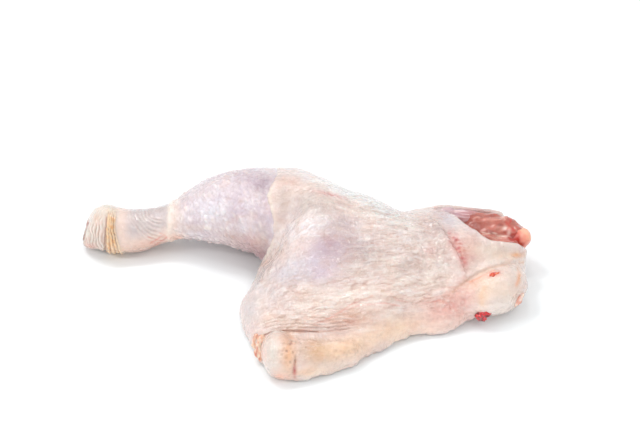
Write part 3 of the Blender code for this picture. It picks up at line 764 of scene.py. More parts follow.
    # the bluish-white mark at (210, 209) is a painted highlight and the cream one at (104, 209) a painted highlight on
    # the strands; the pale strip at (240, 169) is painted rim light along the top outline; the dark rose marks at (262,
    # 256), (250, 246), (238, 238) and (230, 238) are painted shade in the corner under the knee, over pinker skin
    colour = paint(p, colour, body, [
        (262, 185, 11, 10, 0, rgb(162, 140, 152), 0.9), (248, 180, 12, 6, 0, rgb(196, 176, 190), 0.6),
        (264, 205, 6, 12, 0, rgb(204, 184, 190), 0.6), (230, 195, 14, 10, -20, rgb(206, 192, 204), 0.5),
        (210, 209, 14, 10, 0, rgb(228, 226, 236), 0.7), (96, 217, 5, 5, 20, rgb(222, 196, 178), 0.7),
        (90, 246, 7, 3, 8, rgb(228, 180, 168), 0.8), (82.5, 235, 2.4, 8, -12, rgb(116, 76, 62), 0.85),
        (176, 238, 9, 4, 0, rgb(232, 182, 162), 0.7), (262, 256, 10, 12, 30, rgb(146, 90, 96), 0.85),
        (250, 246, 14, 8, 20, rgb(178, 128, 130), 0.7), (238, 238, 10, 6, 15, rgb(192, 156, 154), 0.6),
        (262, 235, 6, 16, 0, rgb(196, 176, 168), 0.5), (256, 240, 8, 6, 20, rgb(214, 164, 146), 0.4),
        (230, 238, 16, 7, 10, rgb(200, 172, 166), 0.6), (200, 196, 20, 10, -20, rgb(222, 214, 222), 0.4),
        (118, 250, 9, 3, 0, rgb(232, 200, 170), 0.6), (150, 243, 10, 3, -6, rgb(230, 182, 166), 0.5),
        (104, 209, 7, 4, 0, rgb(240, 228, 212), 0.6), (240, 169, 24, 3, -4, rgb(236, 228, 232), 0.7),
        (195, 228, 12, 5, 4, rgb(218, 200, 190), 0.5),
    ])
    colour = streaks(p, colour, body, [
        ([(151, 243), (156, 240), (162, 236)], 0.5, rgb(222, 138, 126), 0.7),
        ([(156, 245), (161, 241), (167, 237)], 0.5, rgb(218, 134, 124), 0.6),
        ([(148, 237), (155, 239), (164, 241)], 0.4, rgb(224, 150, 138), 0.6),
        ([(160, 233), (166, 236), (170, 240)], 0.4, rgb(226, 156, 142), 0.5),
        ([(109, 214), (109.5, 221), (110, 226)], 0.7, rgb(196, 138, 84), 0.7),
    ])
    end = ease(0.6, -0.6, dish(p))
    colour = mix(colour, rgb(138, 84, 66), 0.9 * end)
    return add_mesh("drumstick_skin", p, quads, {
        "tint": colour, "groove": np.clip(groove_shade, 0, 1), "raised": np.clip(follicle_pale_and_highlight, 0, 1),
        "wet": np.clip(0.4 + 0.6 * w, 0, 1), "rough": 0.25 * ease(-112, -100, x),
        "flow": np.stack([x / 2.0, arc, np.zeros(len(p))], 1),
    })


def make_thigh():
    p, quads, n = surface(thigh_skin, (-47, -136, -1.5), (120, 2, 56), 0.62)
    x, y, z = p[:, 0], p[:, 1], p[:, 2]
    inner = ease(0.8, 2.5, -body(p))                  # walls of the pocket and the hidden cut
    base = z < 0.15
    edge = skin_edge(p)
    h = 0.60 * noise(p / 13.0, 40) + 0.30 * noise(p / 5.0, 41)

    # Long shallow wrinkles along the thigh, fading in and out
    knee = np.exp(-(((x + 6) / 20.0) ** 2 + ((y + 60) / 16.0) ** 2))
    rim = ease(-44, -22, y) * ease(-10, 10, x)
    b = y - 0.12 * x - 0.45 * knee * (x + 6) + 0.40 * (x - 30) * rim
    warp = np.stack([x / 15.0, y / 8.0, z / 8.0], 1)
    fret = np.stack([x / 6.0, y / 3.2, z / 3.2], 1)
    rough = marks_weight(p, WRINKLED, 0.2)
    smooth_skin = np.clip(marks_weight(p, SMOOTH, 0.0), 0, 1)
    wr = np.clip(rough * (1 - smooth_skin), 0, 1.3)

    def furrows(across, period, seed, wide):
        line = across / period + 1.1 * noise(warp, seed) + 0.45 * noise(fret, seed + 1)
        off = np.abs(line - np.floor(line) - 0.5) * 2
        present = ease(-0.35, 0.45, noise(np.stack([x / 8.0, y / 4.0, z / 4.0], 1), seed + 2))
        return np.exp(-(((1 - off) / wide) ** 2)) * present, off

    g1, off1 = furrows(b, 3.3, 42, 0.26)
    g2, off2 = furrows(b - 0.10 * x + 0.3 * z, 2.1, 45, 0.34)
    g3 = groove(noise(np.stack([x / 4.5, y / 1.3, z / 1.3], 1), 48), 0.14)
    h += wr * (0.36 * (off1 - 0.5) - 0.50 * g1 + 0.16 * (off2 - 0.5) - 0.30 * g2 - 0.16 * g3)
    h += 0.10 * wr * noise(np.stack([x / 2.4, y / 1.2, z / 1.2], 1), 49)
    # painted shade in the wrinkle grooves, sent to the groove attribute
    groove_shade = wr * (0.60 * g1 + 0.36 * g2 + 0.30 * g3)

    # Close folds where the skin gathers above the roll
    gather = crease(p, ROLL_LINE, 0.0)
    above = ease(-0.3, 0.6, (p - ROLL_LINE[3]) @ UP) * ease(-36, -30, x) * (1 - ease(8, 22, x))
    line = (gather + 0.45 * noise(p / 5.0, 56)) / 1.9
    off = np.abs(line - np.floor(line) - 0.5) * 2
    g4 = np.exp(-(((1 - off) / 0.36) ** 2)) * np.exp(-gather / 8.0) * above
    h += 0.40 * above * np.exp(-gather / 8.0) * (1 - off) - 0.65 * g4
    # painted shade in the gathered folds, along the roll's crease and in the cleft
    groove_shade += 0.6 * g4 + 0.4 * np.exp(-((gather / 1.0) ** 2)) + 0.6 * np.exp(-((cleft(p) / 0.8) ** 2))

    # Pebbled follicles
    d, tag = seeds(p / 2.1, 55, 0.8)
    goose = np.clip(marks_weight(p, GOOSE, 0.15), 0, 1) * (1 - smooth_skin)
    mound = np.exp(-((d / 0.38) ** 2)) * (0.4 + 0.6 * tag)
    h += 1.0 * goose * mound
    follicle_pale_and_highlight = goose * mound
    blood = np.clip(marks_weight(p, BLOODY, 0.0), 0, 1)
    h += 0.4 * blood * noise(p / 1.7, 62)
    band = np.clip(marks_weight(p, SPECKLED, 0.0), 0, 1)
    d, tag = seeds(p / 1.9, 63, 0.9)
    speck = np.exp(-((d / 0.38) ** 2)) * (tag > 0.35) * band
    h -= 0.2 * speck
    keep = (1 - inner) * np.where(base, 0.0, 1.0) * ease(0.2, -1.2, edge)
    h += marks_weight(p, PUSHED, 0.0)
    h *= keep
    # The thin edge of the skirt on the table is wavy
    skirt = np.exp(-(z / 4.0) ** 2) * ease(-70, -90, y)
    h += skirt * (1.4 * noise(np.stack([x / 7.0, y / 7.0, z / 9.0], 1), 57) + 0.8 * noise(p / 2.8, 58)) * (z > 0.15)
    # The skin's thickness over the drumstick
    h += SKIN * ease(30, -10, x) * ease(-1.5, -0.2, body(p)) * (1 - base)
    # The step where the upper skin lies over the lower, at the far right
    for line, side, lift, r in STEPS:
        pts = spots_on(body, line)
        dist, across = signed_path(p, pts, side)
        lifted = ease(-0.5, 0.5, across) * np.exp(-((np.maximum(across, 0) / r) ** 2)) * np.exp(-((np.abs(across) / (2.5 * r)) ** 2))
        near = np.exp(-((np.maximum(dist - np.abs(across), 0) / 1.2) ** 2))
        h += (1 - inner) * lift * lifted * near
        # painted shade along the foot of the step
        groove_shade += 0.22 * np.exp(-(((across + 0.5) / 0.8) ** 2)) * near * (dist < 8)
    p = on_table(p + n * h[:, None])

    colour = np.tile(rgb(231, 215, 207), (len(p), 1))
    colour = mix(colour, rgb(230, 210, 203), ease(-0.3, 0.4, noise(p / 17.0, 50)))
    colour = mix(colour, rgb(210, 194, 204), 0.35 * ease(0.0, 0.6, noise(p / 21.0, 52)))
    colour = paint(p, colour, body, THIGH_MARKS)
    drift = np.stack([x / 11.0, y / 4.0, z / 4.0], 1)
    calm = 1 - 0.7 * smooth_skin
    colour = mix(colour, colour * np.array([1.06, 1.07, 1.06]), calm * ease(0.0, 0.5, noise(drift, 51)))
    colour = mix(colour, colour * np.array([0.92, 0.90, 0.90]), calm * 0.6 * ease(0.0, 0.55, noise(drift, 54)))
    colour = mix(colour, colour * np.array([0.99, 0.91, 0.86]), 0.7 * ease(0.1, 0.6, noise(p / 8.0, 53)))
    colour = mix(colour, colour * np.array([0.95, 0.93, 0.95]), calm * ease(0.1, 0.6, noise(p / 5.0, 59)))
    pinkish = marks_weight(p, PINK_LINES, 0.03)
    colour = mix(colour, rgb(224, 160, 146), pinkish * np.clip(g1 + 0.4 * g2, 0, 1) * 0.38)
    # painted shade: grey-brown in the wrinkle grooves and in the folds gathered above the roll
    colour = mix(colour, rgb(196, 168, 156), wr * np.clip(g1 + 0.6 * g2, 0, 1) * 0.45)
    colour = mix(colour, rgb(192, 158, 140), 0.5 * np.clip(g4, 0, 1))
    colour = mix(colour, rgb(236, 196, 184), 0.35 * wr * g3)
    colour = mix(colour, rgb(196, 76, 74), 0.8 * blood * ease(-0.25, 0.35, noise(p / np.array([2.6, 1.6, 1.6]), 61)))
    colour = mix(colour, rgb(142, 86, 66), 0.9 * speck)
    # painted highlight on the wrinkle ridges; follicles paler, partly their own colour and partly painted highlight,
    # with painted shade between them
    colour = mix(colour, rgb(248, 242, 236), 0.50 * wr * off1 * off1 * (1 - g1))
    colour = mix(colour, rgb(246, 240, 236), 0.7 * follicle_pale_and_highlight)
    colour = mix(colour, colour * np.array([0.88, 0.84, 0.84]), 0.8 * goose * (1 - mound))
    colour = streaks(p, colour, body, THIGH_STREAKS)
    # Edge of the skin over the drumstick: a pale band
    colour = mix(colour, rgb(232, 222, 210), (0.2 + 0.45 * ease(-0.3, 0.4, noise(p / 8.0, 60))) * np.exp(-(((edge + 1.0) / 1.0) ** 2)))
    # Inside of the pocket
    colour = mix(colour, rgb(222, 150, 138), inner)
    return add_mesh("thigh_skin", p, quads, {
        "tint": colour, "groove": np.clip(groove_shade * keep, 0, 1), "raised": np.clip(follicle_pale_and_highlight, 0, 1),
        "wet": np.clip(0.35 + marks_weight(p, WET, 0.0), 0, 1), "rough": np.clip(wr * 0.9 + 0.1, 0, 1) * (1 - 0.8 * inner),
        "flow": np.stack([x / 4.5, b, z], 1),
    })


def marks_weight(p, marks, base):
    """base plus the marks (u, v, ru, rv, turn, amount) of the main view."""
    out = np.full(len(p), float(base))
    for c, (_, _, ru, rv, turn, amount) in zip(spots_on(body, [m[:2] for m in marks]), marks):
        out += amount * blob(p, c, ru, rv, turn)
    return out


def signed_path(p, line, side):
    """Distance to the line, and the distance across it, positive on the named side."""
    best, across = np.full(len(p), 1e9), np.zeros(len(p))
    for a, b in zip(line[:-1], line[1:]):
        t = np.clip(((p - a) @ (b - a)) / ((b - a) @ (b - a)), 0, 1)
        off = p - a - t[:, None] * (b - a)
        d = np.linalg.norm(off, axis=1)
        out = np.cross(b - a, -AHEAD)
        out /= np.linalg.norm(out)
        near = d < best
        across = np.where(near, side * (off @ out), across)
        best = np.where(near, d, best)
    return best, across


BLOODY = [
    (452, 237, 3.5, 5, -20, 1.0), (457, 245, 4.5, 10, -30, 1.3), (463, 258, 3, 7, -15, 0.9),
    (331, 196, 13, 2.4, 14, 0.55), (294.5, 371, 1.8, 5, 0, 0.9), (444, 258, 6, 4, 0, 0.2),
    (392, 305, 12, 2, 6, 0.2), (352, 302, 10, 2.5, -20, 0.25), (286, 184, 6, 3, 0, 0.2),
    (454, 306, 16, 12, -20, 0.24), (466, 290, 7, 10, -20, 0.2), (430, 300, 16, 4, 8, 0.22),
]
SPECKLED = [
    (288, 352, 7, 18, 0, 1.0), (300, 346, 9, 8, 0, 0.5), (345, 352, 34, 10, -15, 0.35),
    (285, 305, 24, 14, 0, 0.3), (430, 310, 30, 14, -10, 0.35),
]
PUSHED = [
    (313, 177, 12, 6, 25, -1.3), (352, 190, 16, 5, 25, 0.9), (402, 211, 14, 6, 10, -1.6),
    (264, 268, 6, 6, 0, 1.2), (345, 362, 26, 5, -18, -1.0), (519, 300, 8, 9, -30, -2.2),
]
WRINKLED = [
    (390, 245, 50, 34, 12, 0.65), (350, 290, 60, 22, 6, 0.4), (310, 318, 50, 14, 0, 0.8),
    (370, 205, 40, 12, 25, 0.5), (285, 290, 20, 12, -15, 0.45), (420, 290, 36, 24, 0, 0.5),
    (300, 232, 26, 12, -25, 0.35), (335, 345, 50, 12, -14, 0.2),
]
SMOOTH = [
    (252, 308, 18, 28, 0, 0.75), (273, 355, 9, 18, 0, 1.0), (330, 355, 45, 14, -18, 0.7),
    (490, 252, 34, 9, 8, 0.95), (500, 290, 24, 18, 0, 0.9), (284, 200, 9, 24, 0, 0.5),
    (460, 222, 16, 10, 30, 0.6), (410, 322, 40, 12, -14, 0.5), (318, 258, 22, 24, 10, 0.6),
    (289, 356, 8, 16, 0, 0.7),
]
GOOSE = [
    (440, 244, 14, 26, -30, 1.0), (425, 226, 20, 12, 25, 0.8), (289, 350, 8, 16, 0, 0.3),
    (450, 305, 20, 14, 0, 0.7), (340, 350, 40, 14, -15, 0.25), (280, 300, 30, 16, 0, 0.35),
    (415, 262, 24, 18, 10, 0.45),
]
PINK_LINES = [
    (345, 300, 50, 20, -12, 0.8), (400, 300, 46, 18, 8, 0.5), (310, 322, 50, 8, 0, 0.5),
    (450, 310, 24, 18, 0, 0.8), (400, 250, 50, 26, 10, 0.25), (330, 195, 20, 6, 12, 0.5),
]
WET = [
    (298, 230, 30, 16, -25, 0.6), (285, 291, 18, 8, 0, 0.5), (370, 235, 40, 24, 20, 0.35),
    (370, 200, 30, 14, 28, 0.4), (500, 250, 30, 10, 0, 0.3), (250, 310, 14, 24, 0, 0.3),
]
STEPS = [
    ([(426, 214), (436, 223), (444, 232), (451, 243), (457, 253), (463, 266), (465, 274)], 1, 0.95, 7.0),
]
# the near-white marks at (296, 226), (312, 227) and (288, 240) are painted highlights on the knee; the pale strips at
# (350, 193), (380, 208), (318, 181) and (295, 174) are painted rim light along the top outline
THIGH_MARKS = [
    (362, 252, 34, 22, 10, rgb(176, 162, 162), 0.78), (330, 246, 24, 17, 0, rgb(196, 172, 188), 0.9),
    (318, 268, 18, 15, 40, rgb(206, 190, 210), 0.8), (310, 205, 22, 14, 10, rgb(192, 178, 172), 0.8),
    (290, 272, 26, 13, -25, rgb(206, 202, 212), 0.85), (345, 225, 18, 10, 20, rgb(198, 182, 190), 0.6),
    (284, 200, 8, 20, 0, rgb(196, 176, 168), 0.85), (292, 186, 9, 6, 10, rgb(222, 192, 182), 0.45),
    (330, 194, 16, 3, 12, rgb(218, 150, 146), 0.55), (296, 226, 20, 9, -25, rgb(232, 228, 232), 0.75),
    (350, 193, 26, 7, 22, rgb(238, 245, 248), 0.9), (380, 208, 22, 9, 38, rgb(238, 246, 248), 0.95),
    (318, 181, 22, 4.5, 24, rgb(240, 236, 236), 0.9), (295, 174, 22, 4, 8, rgb(236, 230, 230), 0.8),
    (405, 224, 16, 7, 35, rgb(238, 234, 230), 0.7), (312, 227, 20, 8, -22, rgb(236, 232, 238), 0.8),
    (288, 240, 14, 4.5, -36, rgb(236, 231, 234), 0.75),
    (400, 238, 28, 14, 15, rgb(220, 210, 208), 0.6), (430, 278, 30, 14, 8, rgb(238, 222, 210), 0.6),
    (250, 312, 11, 22, 0, rgb(206, 198, 200), 0.85), (262, 285, 14, 14, 0, rgb(220, 212, 214), 0.6),
    (300, 300, 26, 12, -8, rgb(226, 212, 204), 0.6), (350, 298, 36, 12, -8, rgb(246, 234, 224), 0.85),
    (272, 354, 7, 18, 0, rgb(216, 208, 200), 0.95), (288.5, 354, 8, 23, 0, rgb(232, 184, 146), 0.95),
    (287, 337, 9, 5, 0, rgb(216, 170, 146), 0.7), (318, 350, 18, 12, 0, rgb(202, 158, 112), 0.85),
    (312, 344, 8, 5, 0, rgb(216, 168, 134), 0.5), (348, 348, 32, 13, -15, rgb(242, 204, 168), 0.9),
    (395, 330, 38, 12, -14, rgb(246, 212, 182), 0.85), (305, 372, 24, 5, -4, rgb(243, 208, 178), 0.7),
    (345, 320, 26, 9, -8, rgb(200, 140, 110), 0.85), (450, 306, 26, 15, -20, rgb(246, 180, 166), 0.85),
    (462, 298, 12, 16, 0, rgb(240, 184, 170), 0.6), (440, 326, 26, 6, -14, rgb(246, 212, 196), 0.6),
    (430, 250, 7, 7, 0, rgb(226, 168, 158), 0.6), (410, 296, 30, 6, 6, rgb(236, 200, 184), 0.5),
    (457, 246, 6, 14, -28, rgb(218, 128, 120), 0.85), (464, 262, 4, 11, -10, rgb(214, 130, 120), 0.7),
    (446, 218, 14, 9, 30, rgb(202, 194, 204), 0.85), (470, 250, 11, 14, -20, rgb(202, 132, 120), 0.78),
    (492, 251, 30, 8, 8, rgb(222, 204, 188), 0.8), (498, 288, 22, 20, 0, rgb(230, 208, 192), 0.95),
    (496, 306, 20, 9, 0, rgb(238, 226, 218), 0.8), (494, 274, 7, 2.6, -12, rgb(222, 96, 62), 0.9),
    (517, 255, 7, 3, 0, rgb(232, 166, 112), 0.85), (383, 291, 2.2, 1.6, 0, rgb(190, 142, 92), 0.85), (519, 276, 2.4, 10, 6, rgb(236, 184, 142), 0.5),
    (475, 283, 14, 5, -35, rgb(240, 188, 156), 0.6), (470, 210, 30, 3, 3, rgb(198, 156, 156), 0.75),
    (253, 332, 9, 9, 0, rgb(226, 196, 190), 0.7), (294.5, 371, 1.8, 5, 0, rgb(190, 48, 40), 0.95),
    (280, 377, 9, 3, 0, rgb(242, 180, 154), 0.8), (262, 352, 6, 10, -30, rgb(226, 176, 156), 0.6),
    (484, 296, 6, 12, 10, rgb(242, 208, 176), 0.5), (395, 262, 26, 9, 5, rgb(214, 200, 190), 0.45),
    (438, 232, 10, 14, -20, rgb(204, 186, 182), 0.7), (410, 210, 16, 5, 12, rgb(216, 200, 198), 0.4),
    (288, 320, 30, 7, 0, rgb(226, 204, 190), 0.5), (345, 315, 40, 6, -10, rgb(232, 196, 176), 0.45),
]
# the first two lines darken the roll's crease and the third the cleft: painted shade
THIGH_STREAKS = [
    ([(261, 338), (266, 335), (275, 332), (290, 330.5), (303, 331.5), (318, 332)], 0.7, rgb(186, 130, 108), 0.7),
    ([(318, 332), (332, 331), (345, 329.5)], 0.5, rgb(214, 164, 142), 0.5),
    ([(294.5, 344), (295, 352), (295.5, 362), (295, 377)], 0.55, rgb(186, 110, 80), 0.8),
    ([(452, 292), (470, 278.5), (490, 268.5), (500, 265.5), (524, 262)], 0.9, rgb(236, 186, 152), 0.4),
    ([(470, 282), (484, 275), (494, 271)], 0.8, rgb(226, 130, 84), 0.5),
    ([(441, 206), (455, 216), (470, 228), (490, 240), (500, 241.5), (527, 245)], 0.5, rgb(226, 178, 166), 0.5),
    ([(320, 193), (332, 196), (346, 198)], 0.5, rgb(214, 112, 112), 0.6),
    ([(518, 268), (519.5, 276), (517, 285)], 1.0, rgb(232, 158, 108), 0.55),
    ([(484, 287), (481, 295), (482, 303)], 1.6, rgb(243, 200, 160), 0.4),
    ([(300, 330), (330, 318), (352, 304), (372, 296)], 0.5, rgb(226, 150, 134), 0.5),
    ([(340, 312), (360, 305), (385, 303), (400, 306)], 0.4, rgb(226, 146, 132), 0.45),
    ([(396, 300), (420, 304), (440, 300)], 0.4, rgb(228, 150, 138), 0.5),
]


def make_meat():
    p, quads, n = surface(meat, (66, -60, -2), (120, -24, 34), 0.5)
    fibre = noise(np.stack([p[:, 0] / 11.0, p[:, 1] / 1.2, p[:, 2] / 1.2], 1), 60)
    fine = noise(np.stack([p[:, 0] / 4.0, p[:, 1] / 0.5, p[:, 2] / 0.5], 1), 61)
    p = p + n * (0.16 * fibre + 0.05 * fine + 1.5 * noise(p / np.array([6.0, 4.5, 4.5]), 62) + 0.5 * noise(p / np.array([3.4, 2.2, 2.2]), 69))[:, None]
    colour = np.tile(rgb(196, 112, 96), (len(p), 1))
    f = [ellipsoid(p, *lobe) for lobe in LOBES]
    far_lobe = ease(0.8, -0.8, f[0] - np.minimum(f[1], f[2]))
    near_lobe = ease(0.8, -0.8, f[2] - np.minimum(f[0], f[1]))
    colour = mix(colour, rgb(184, 96, 80), 0.85 * far_lobe)
    colour = mix(colour, rgb(202, 116, 100), 0.85 * near_lobe)
    colour = mix(colour, rgb(158, 70, 60), 0.7 * ease(90, 76, p[:, 0]))
    colour = mix(colour, rgb(226, 168, 146), 0.30 * ease(0.15, 0.6, fibre))
    colour = mix(colour, rgb(222, 154, 136), 0.5 * ease(0.0, 0.45, noise(p / np.array([8.0, 3.4, 3.4]), 66)) * ease(84, 94, p[:, 0]))
    colour = mix(colour, rgb(150, 64, 54), 0.6 * ease(0.1, 0.55, noise(p / np.array([6.0, 3.0, 3.0]), 68)))
    colour = mix(colour, rgb(202, 62, 50), 0.8 * ease(100, 106, p[:, 0]) * ease(-0.1, 0.35, noise(p / 3.0, 67)))
    seam = np.exp(-(((f[1] - f[2]) / 0.55) ** 2)) * ease(-0.5, 0.1, noise(p / np.array([9.0, 5.0, 5.0]), 63))
    colour = mix(colour, rgb(240, 214, 196), 0.8 * seam)
    # the near-white spots at (505, 228), (509, 233) and (503, 217) are pale connective tissue with painted glints on it
    colour = paint(p, colour, meat, [
        (505, 228, 2.6, 1.8, -30, rgb(250, 232, 222), 0.8), (509, 233, 1.8, 2.4, 0, rgb(248, 226, 216), 0.7),
        (503, 217, 2.4, 1.4, -30, rgb(246, 214, 202), 0.7), (498, 238, 5, 1.2, 4, rgb(240, 202, 186), 0.5),
        (490, 219, 8, 1.4, -8, rgb(226, 158, 142), 0.5), (476, 226, 8, 4, 0, rgb(160, 72, 60), 0.5),
        (513, 239, 3.5, 5, 0, rgb(188, 40, 34), 0.85), (508, 224, 2, 5, -30, rgb(206, 70, 56), 0.7),
    ])
    colour = streaks(p, colour, meat, [
        ([(477, 232), (485, 232.6), (494, 233), (503, 235)], 0.35, rgb(250, 228, 214), 0.85),
        # these two paler strokes along the far lobe are painted highlight
        ([(470, 223), (480, 220), (492, 217.5), (502, 217)], 0.3, rgb(226, 168, 152), 0.55),
        ([(488, 226), (498, 224.5), (505, 225)], 0.3, rgb(230, 176, 158), 0.5),
    ])
    return add_mesh("bare_muscle", on_table(p), quads, {
        "tint": colour, "groove": np.clip(groove(fibre, 0.1) * 0.4, 0, 1),
        "raised": np.zeros(len(p)), "wet": np.ones(len(p)),
    })


def make_membrane():
    """The pale inner side of the far skin flap, striped along its length."""
    p, quads, n = surface(union(2.0, egg(*MEMBRANE), egg((69.5, -31.6, 29.4), (5.0, 3.0, 3.2))), (62, -40, 16), (98, -25, 35), 0.4)
    stripe = noise(np.stack([p[:, 0] / 12.0, p[:, 1] / 1.6, p[:, 2] / 1.6], 1), 64)
    p = p + n * (0.30 * stripe + 0.2 * noise(p / 4.0, 65))[:, None]
    colour = np.tile(rgb(190, 142, 146), (len(p), 1))
    colour = mix(colour, rgb(228, 202, 206), ease(0.05, 0.5, stripe))
    colour = mix(colour, rgb(188, 152, 166), 0.8 * ease(0.0, -0.5, stripe))
    colour = mix(colour, rgb(200, 122, 112), 0.7 * ease(76, 90, p[:, 0]))
    colour = mix(colour, rgb(216, 192, 198), 0.7 * ease(78, 70, p[:, 0]))
    return add_mesh("inner_skin", p, quads, {
        "tint": colour, "groove": np.zeros(len(p)), "raised": np.zeros(len(p)), "wet": np.ones(len(p)),
    })


def make_knuckle():
    p, quads, n = surface(knuckle, (100, -51, 4), (121, -32, 28), 0.4)
    p = p + n * (0.55 * noise(p / 4.6, 70) + 0.12 * noise(p / 1.6, 71))[:, None]
    colour = np.tile(rgb(240, 150, 126), (len(p), 1))
    colour = mix(colour, rgb(246, 186, 154), ease(0.0, 0.5, noise(p / 4.0, 72)) * ease(18, 24, p[:, 2]))
    colour = mix(colour, rgb(210, 70, 54), ease(110.5, 106.5, p[:, 0]))
    colour = paint(p, colour, knuckle, [
        (518, 239, 3.6, 5.5, 20, rgb(196, 40, 32), 0.95), (522, 244, 4, 2, 0, rgb(214, 84, 66), 0.8),
        (514, 231, 2.6, 4, 0, rgb(226, 98, 80), 0.7), (528, 231, 4, 5, 0, rgb(250, 200, 172), 0.6),
        (521, 227, 5, 2, 0, rgb(238, 132, 108), 0.6), (522, 235, 2, 3, 30, rgb(252, 206, 184), 0.5),
    ])
    return add_mesh("joint_end", p, quads, {
        "tint": colour, "groove": np.zeros(len(p)), "raised": np.zeros(len(p)), "wet": np.ones(len(p)),
    })


def lump(name, shape, low, high, colour_a, colour_b, grain, seed, step=0.3, rough=0.35, accent=None):
    """A small lump with its own knobbly surface and two colours running into each other."""
    p, quads, n = surface(shape, low, high, step)
    p = p + n * (rough * noise(p / grain, seed) + 0.4 * rough * noise(p * 2.3 / grain, seed + 1))[:, None]
    colour = mix(np.tile(colour_a, (len(p), 1)), colour_b, ease(-0.3, 0.4, noise(p / grain, seed + 2)))
    if accent is not None:
        colour = accent(p, colour)
    return add_mesh(name, on_table(p), quads, {
        "tint": colour, "groove": np.zeros(len(p)), "raised": np.zeros(len(p)), "wet": np.ones(len(p)),
    })


def union(k, *shapes):
    def shape(p):
        f = shapes[0](p)
        for other in shapes[1:]:
            f = smooth_min(f, other(p), k)
        return f
    return shape


def egg(*a):
    return lambda p: ellipsoid(p, *a)


def roll_of(*a):
    return lambda p: rod(p, *a)


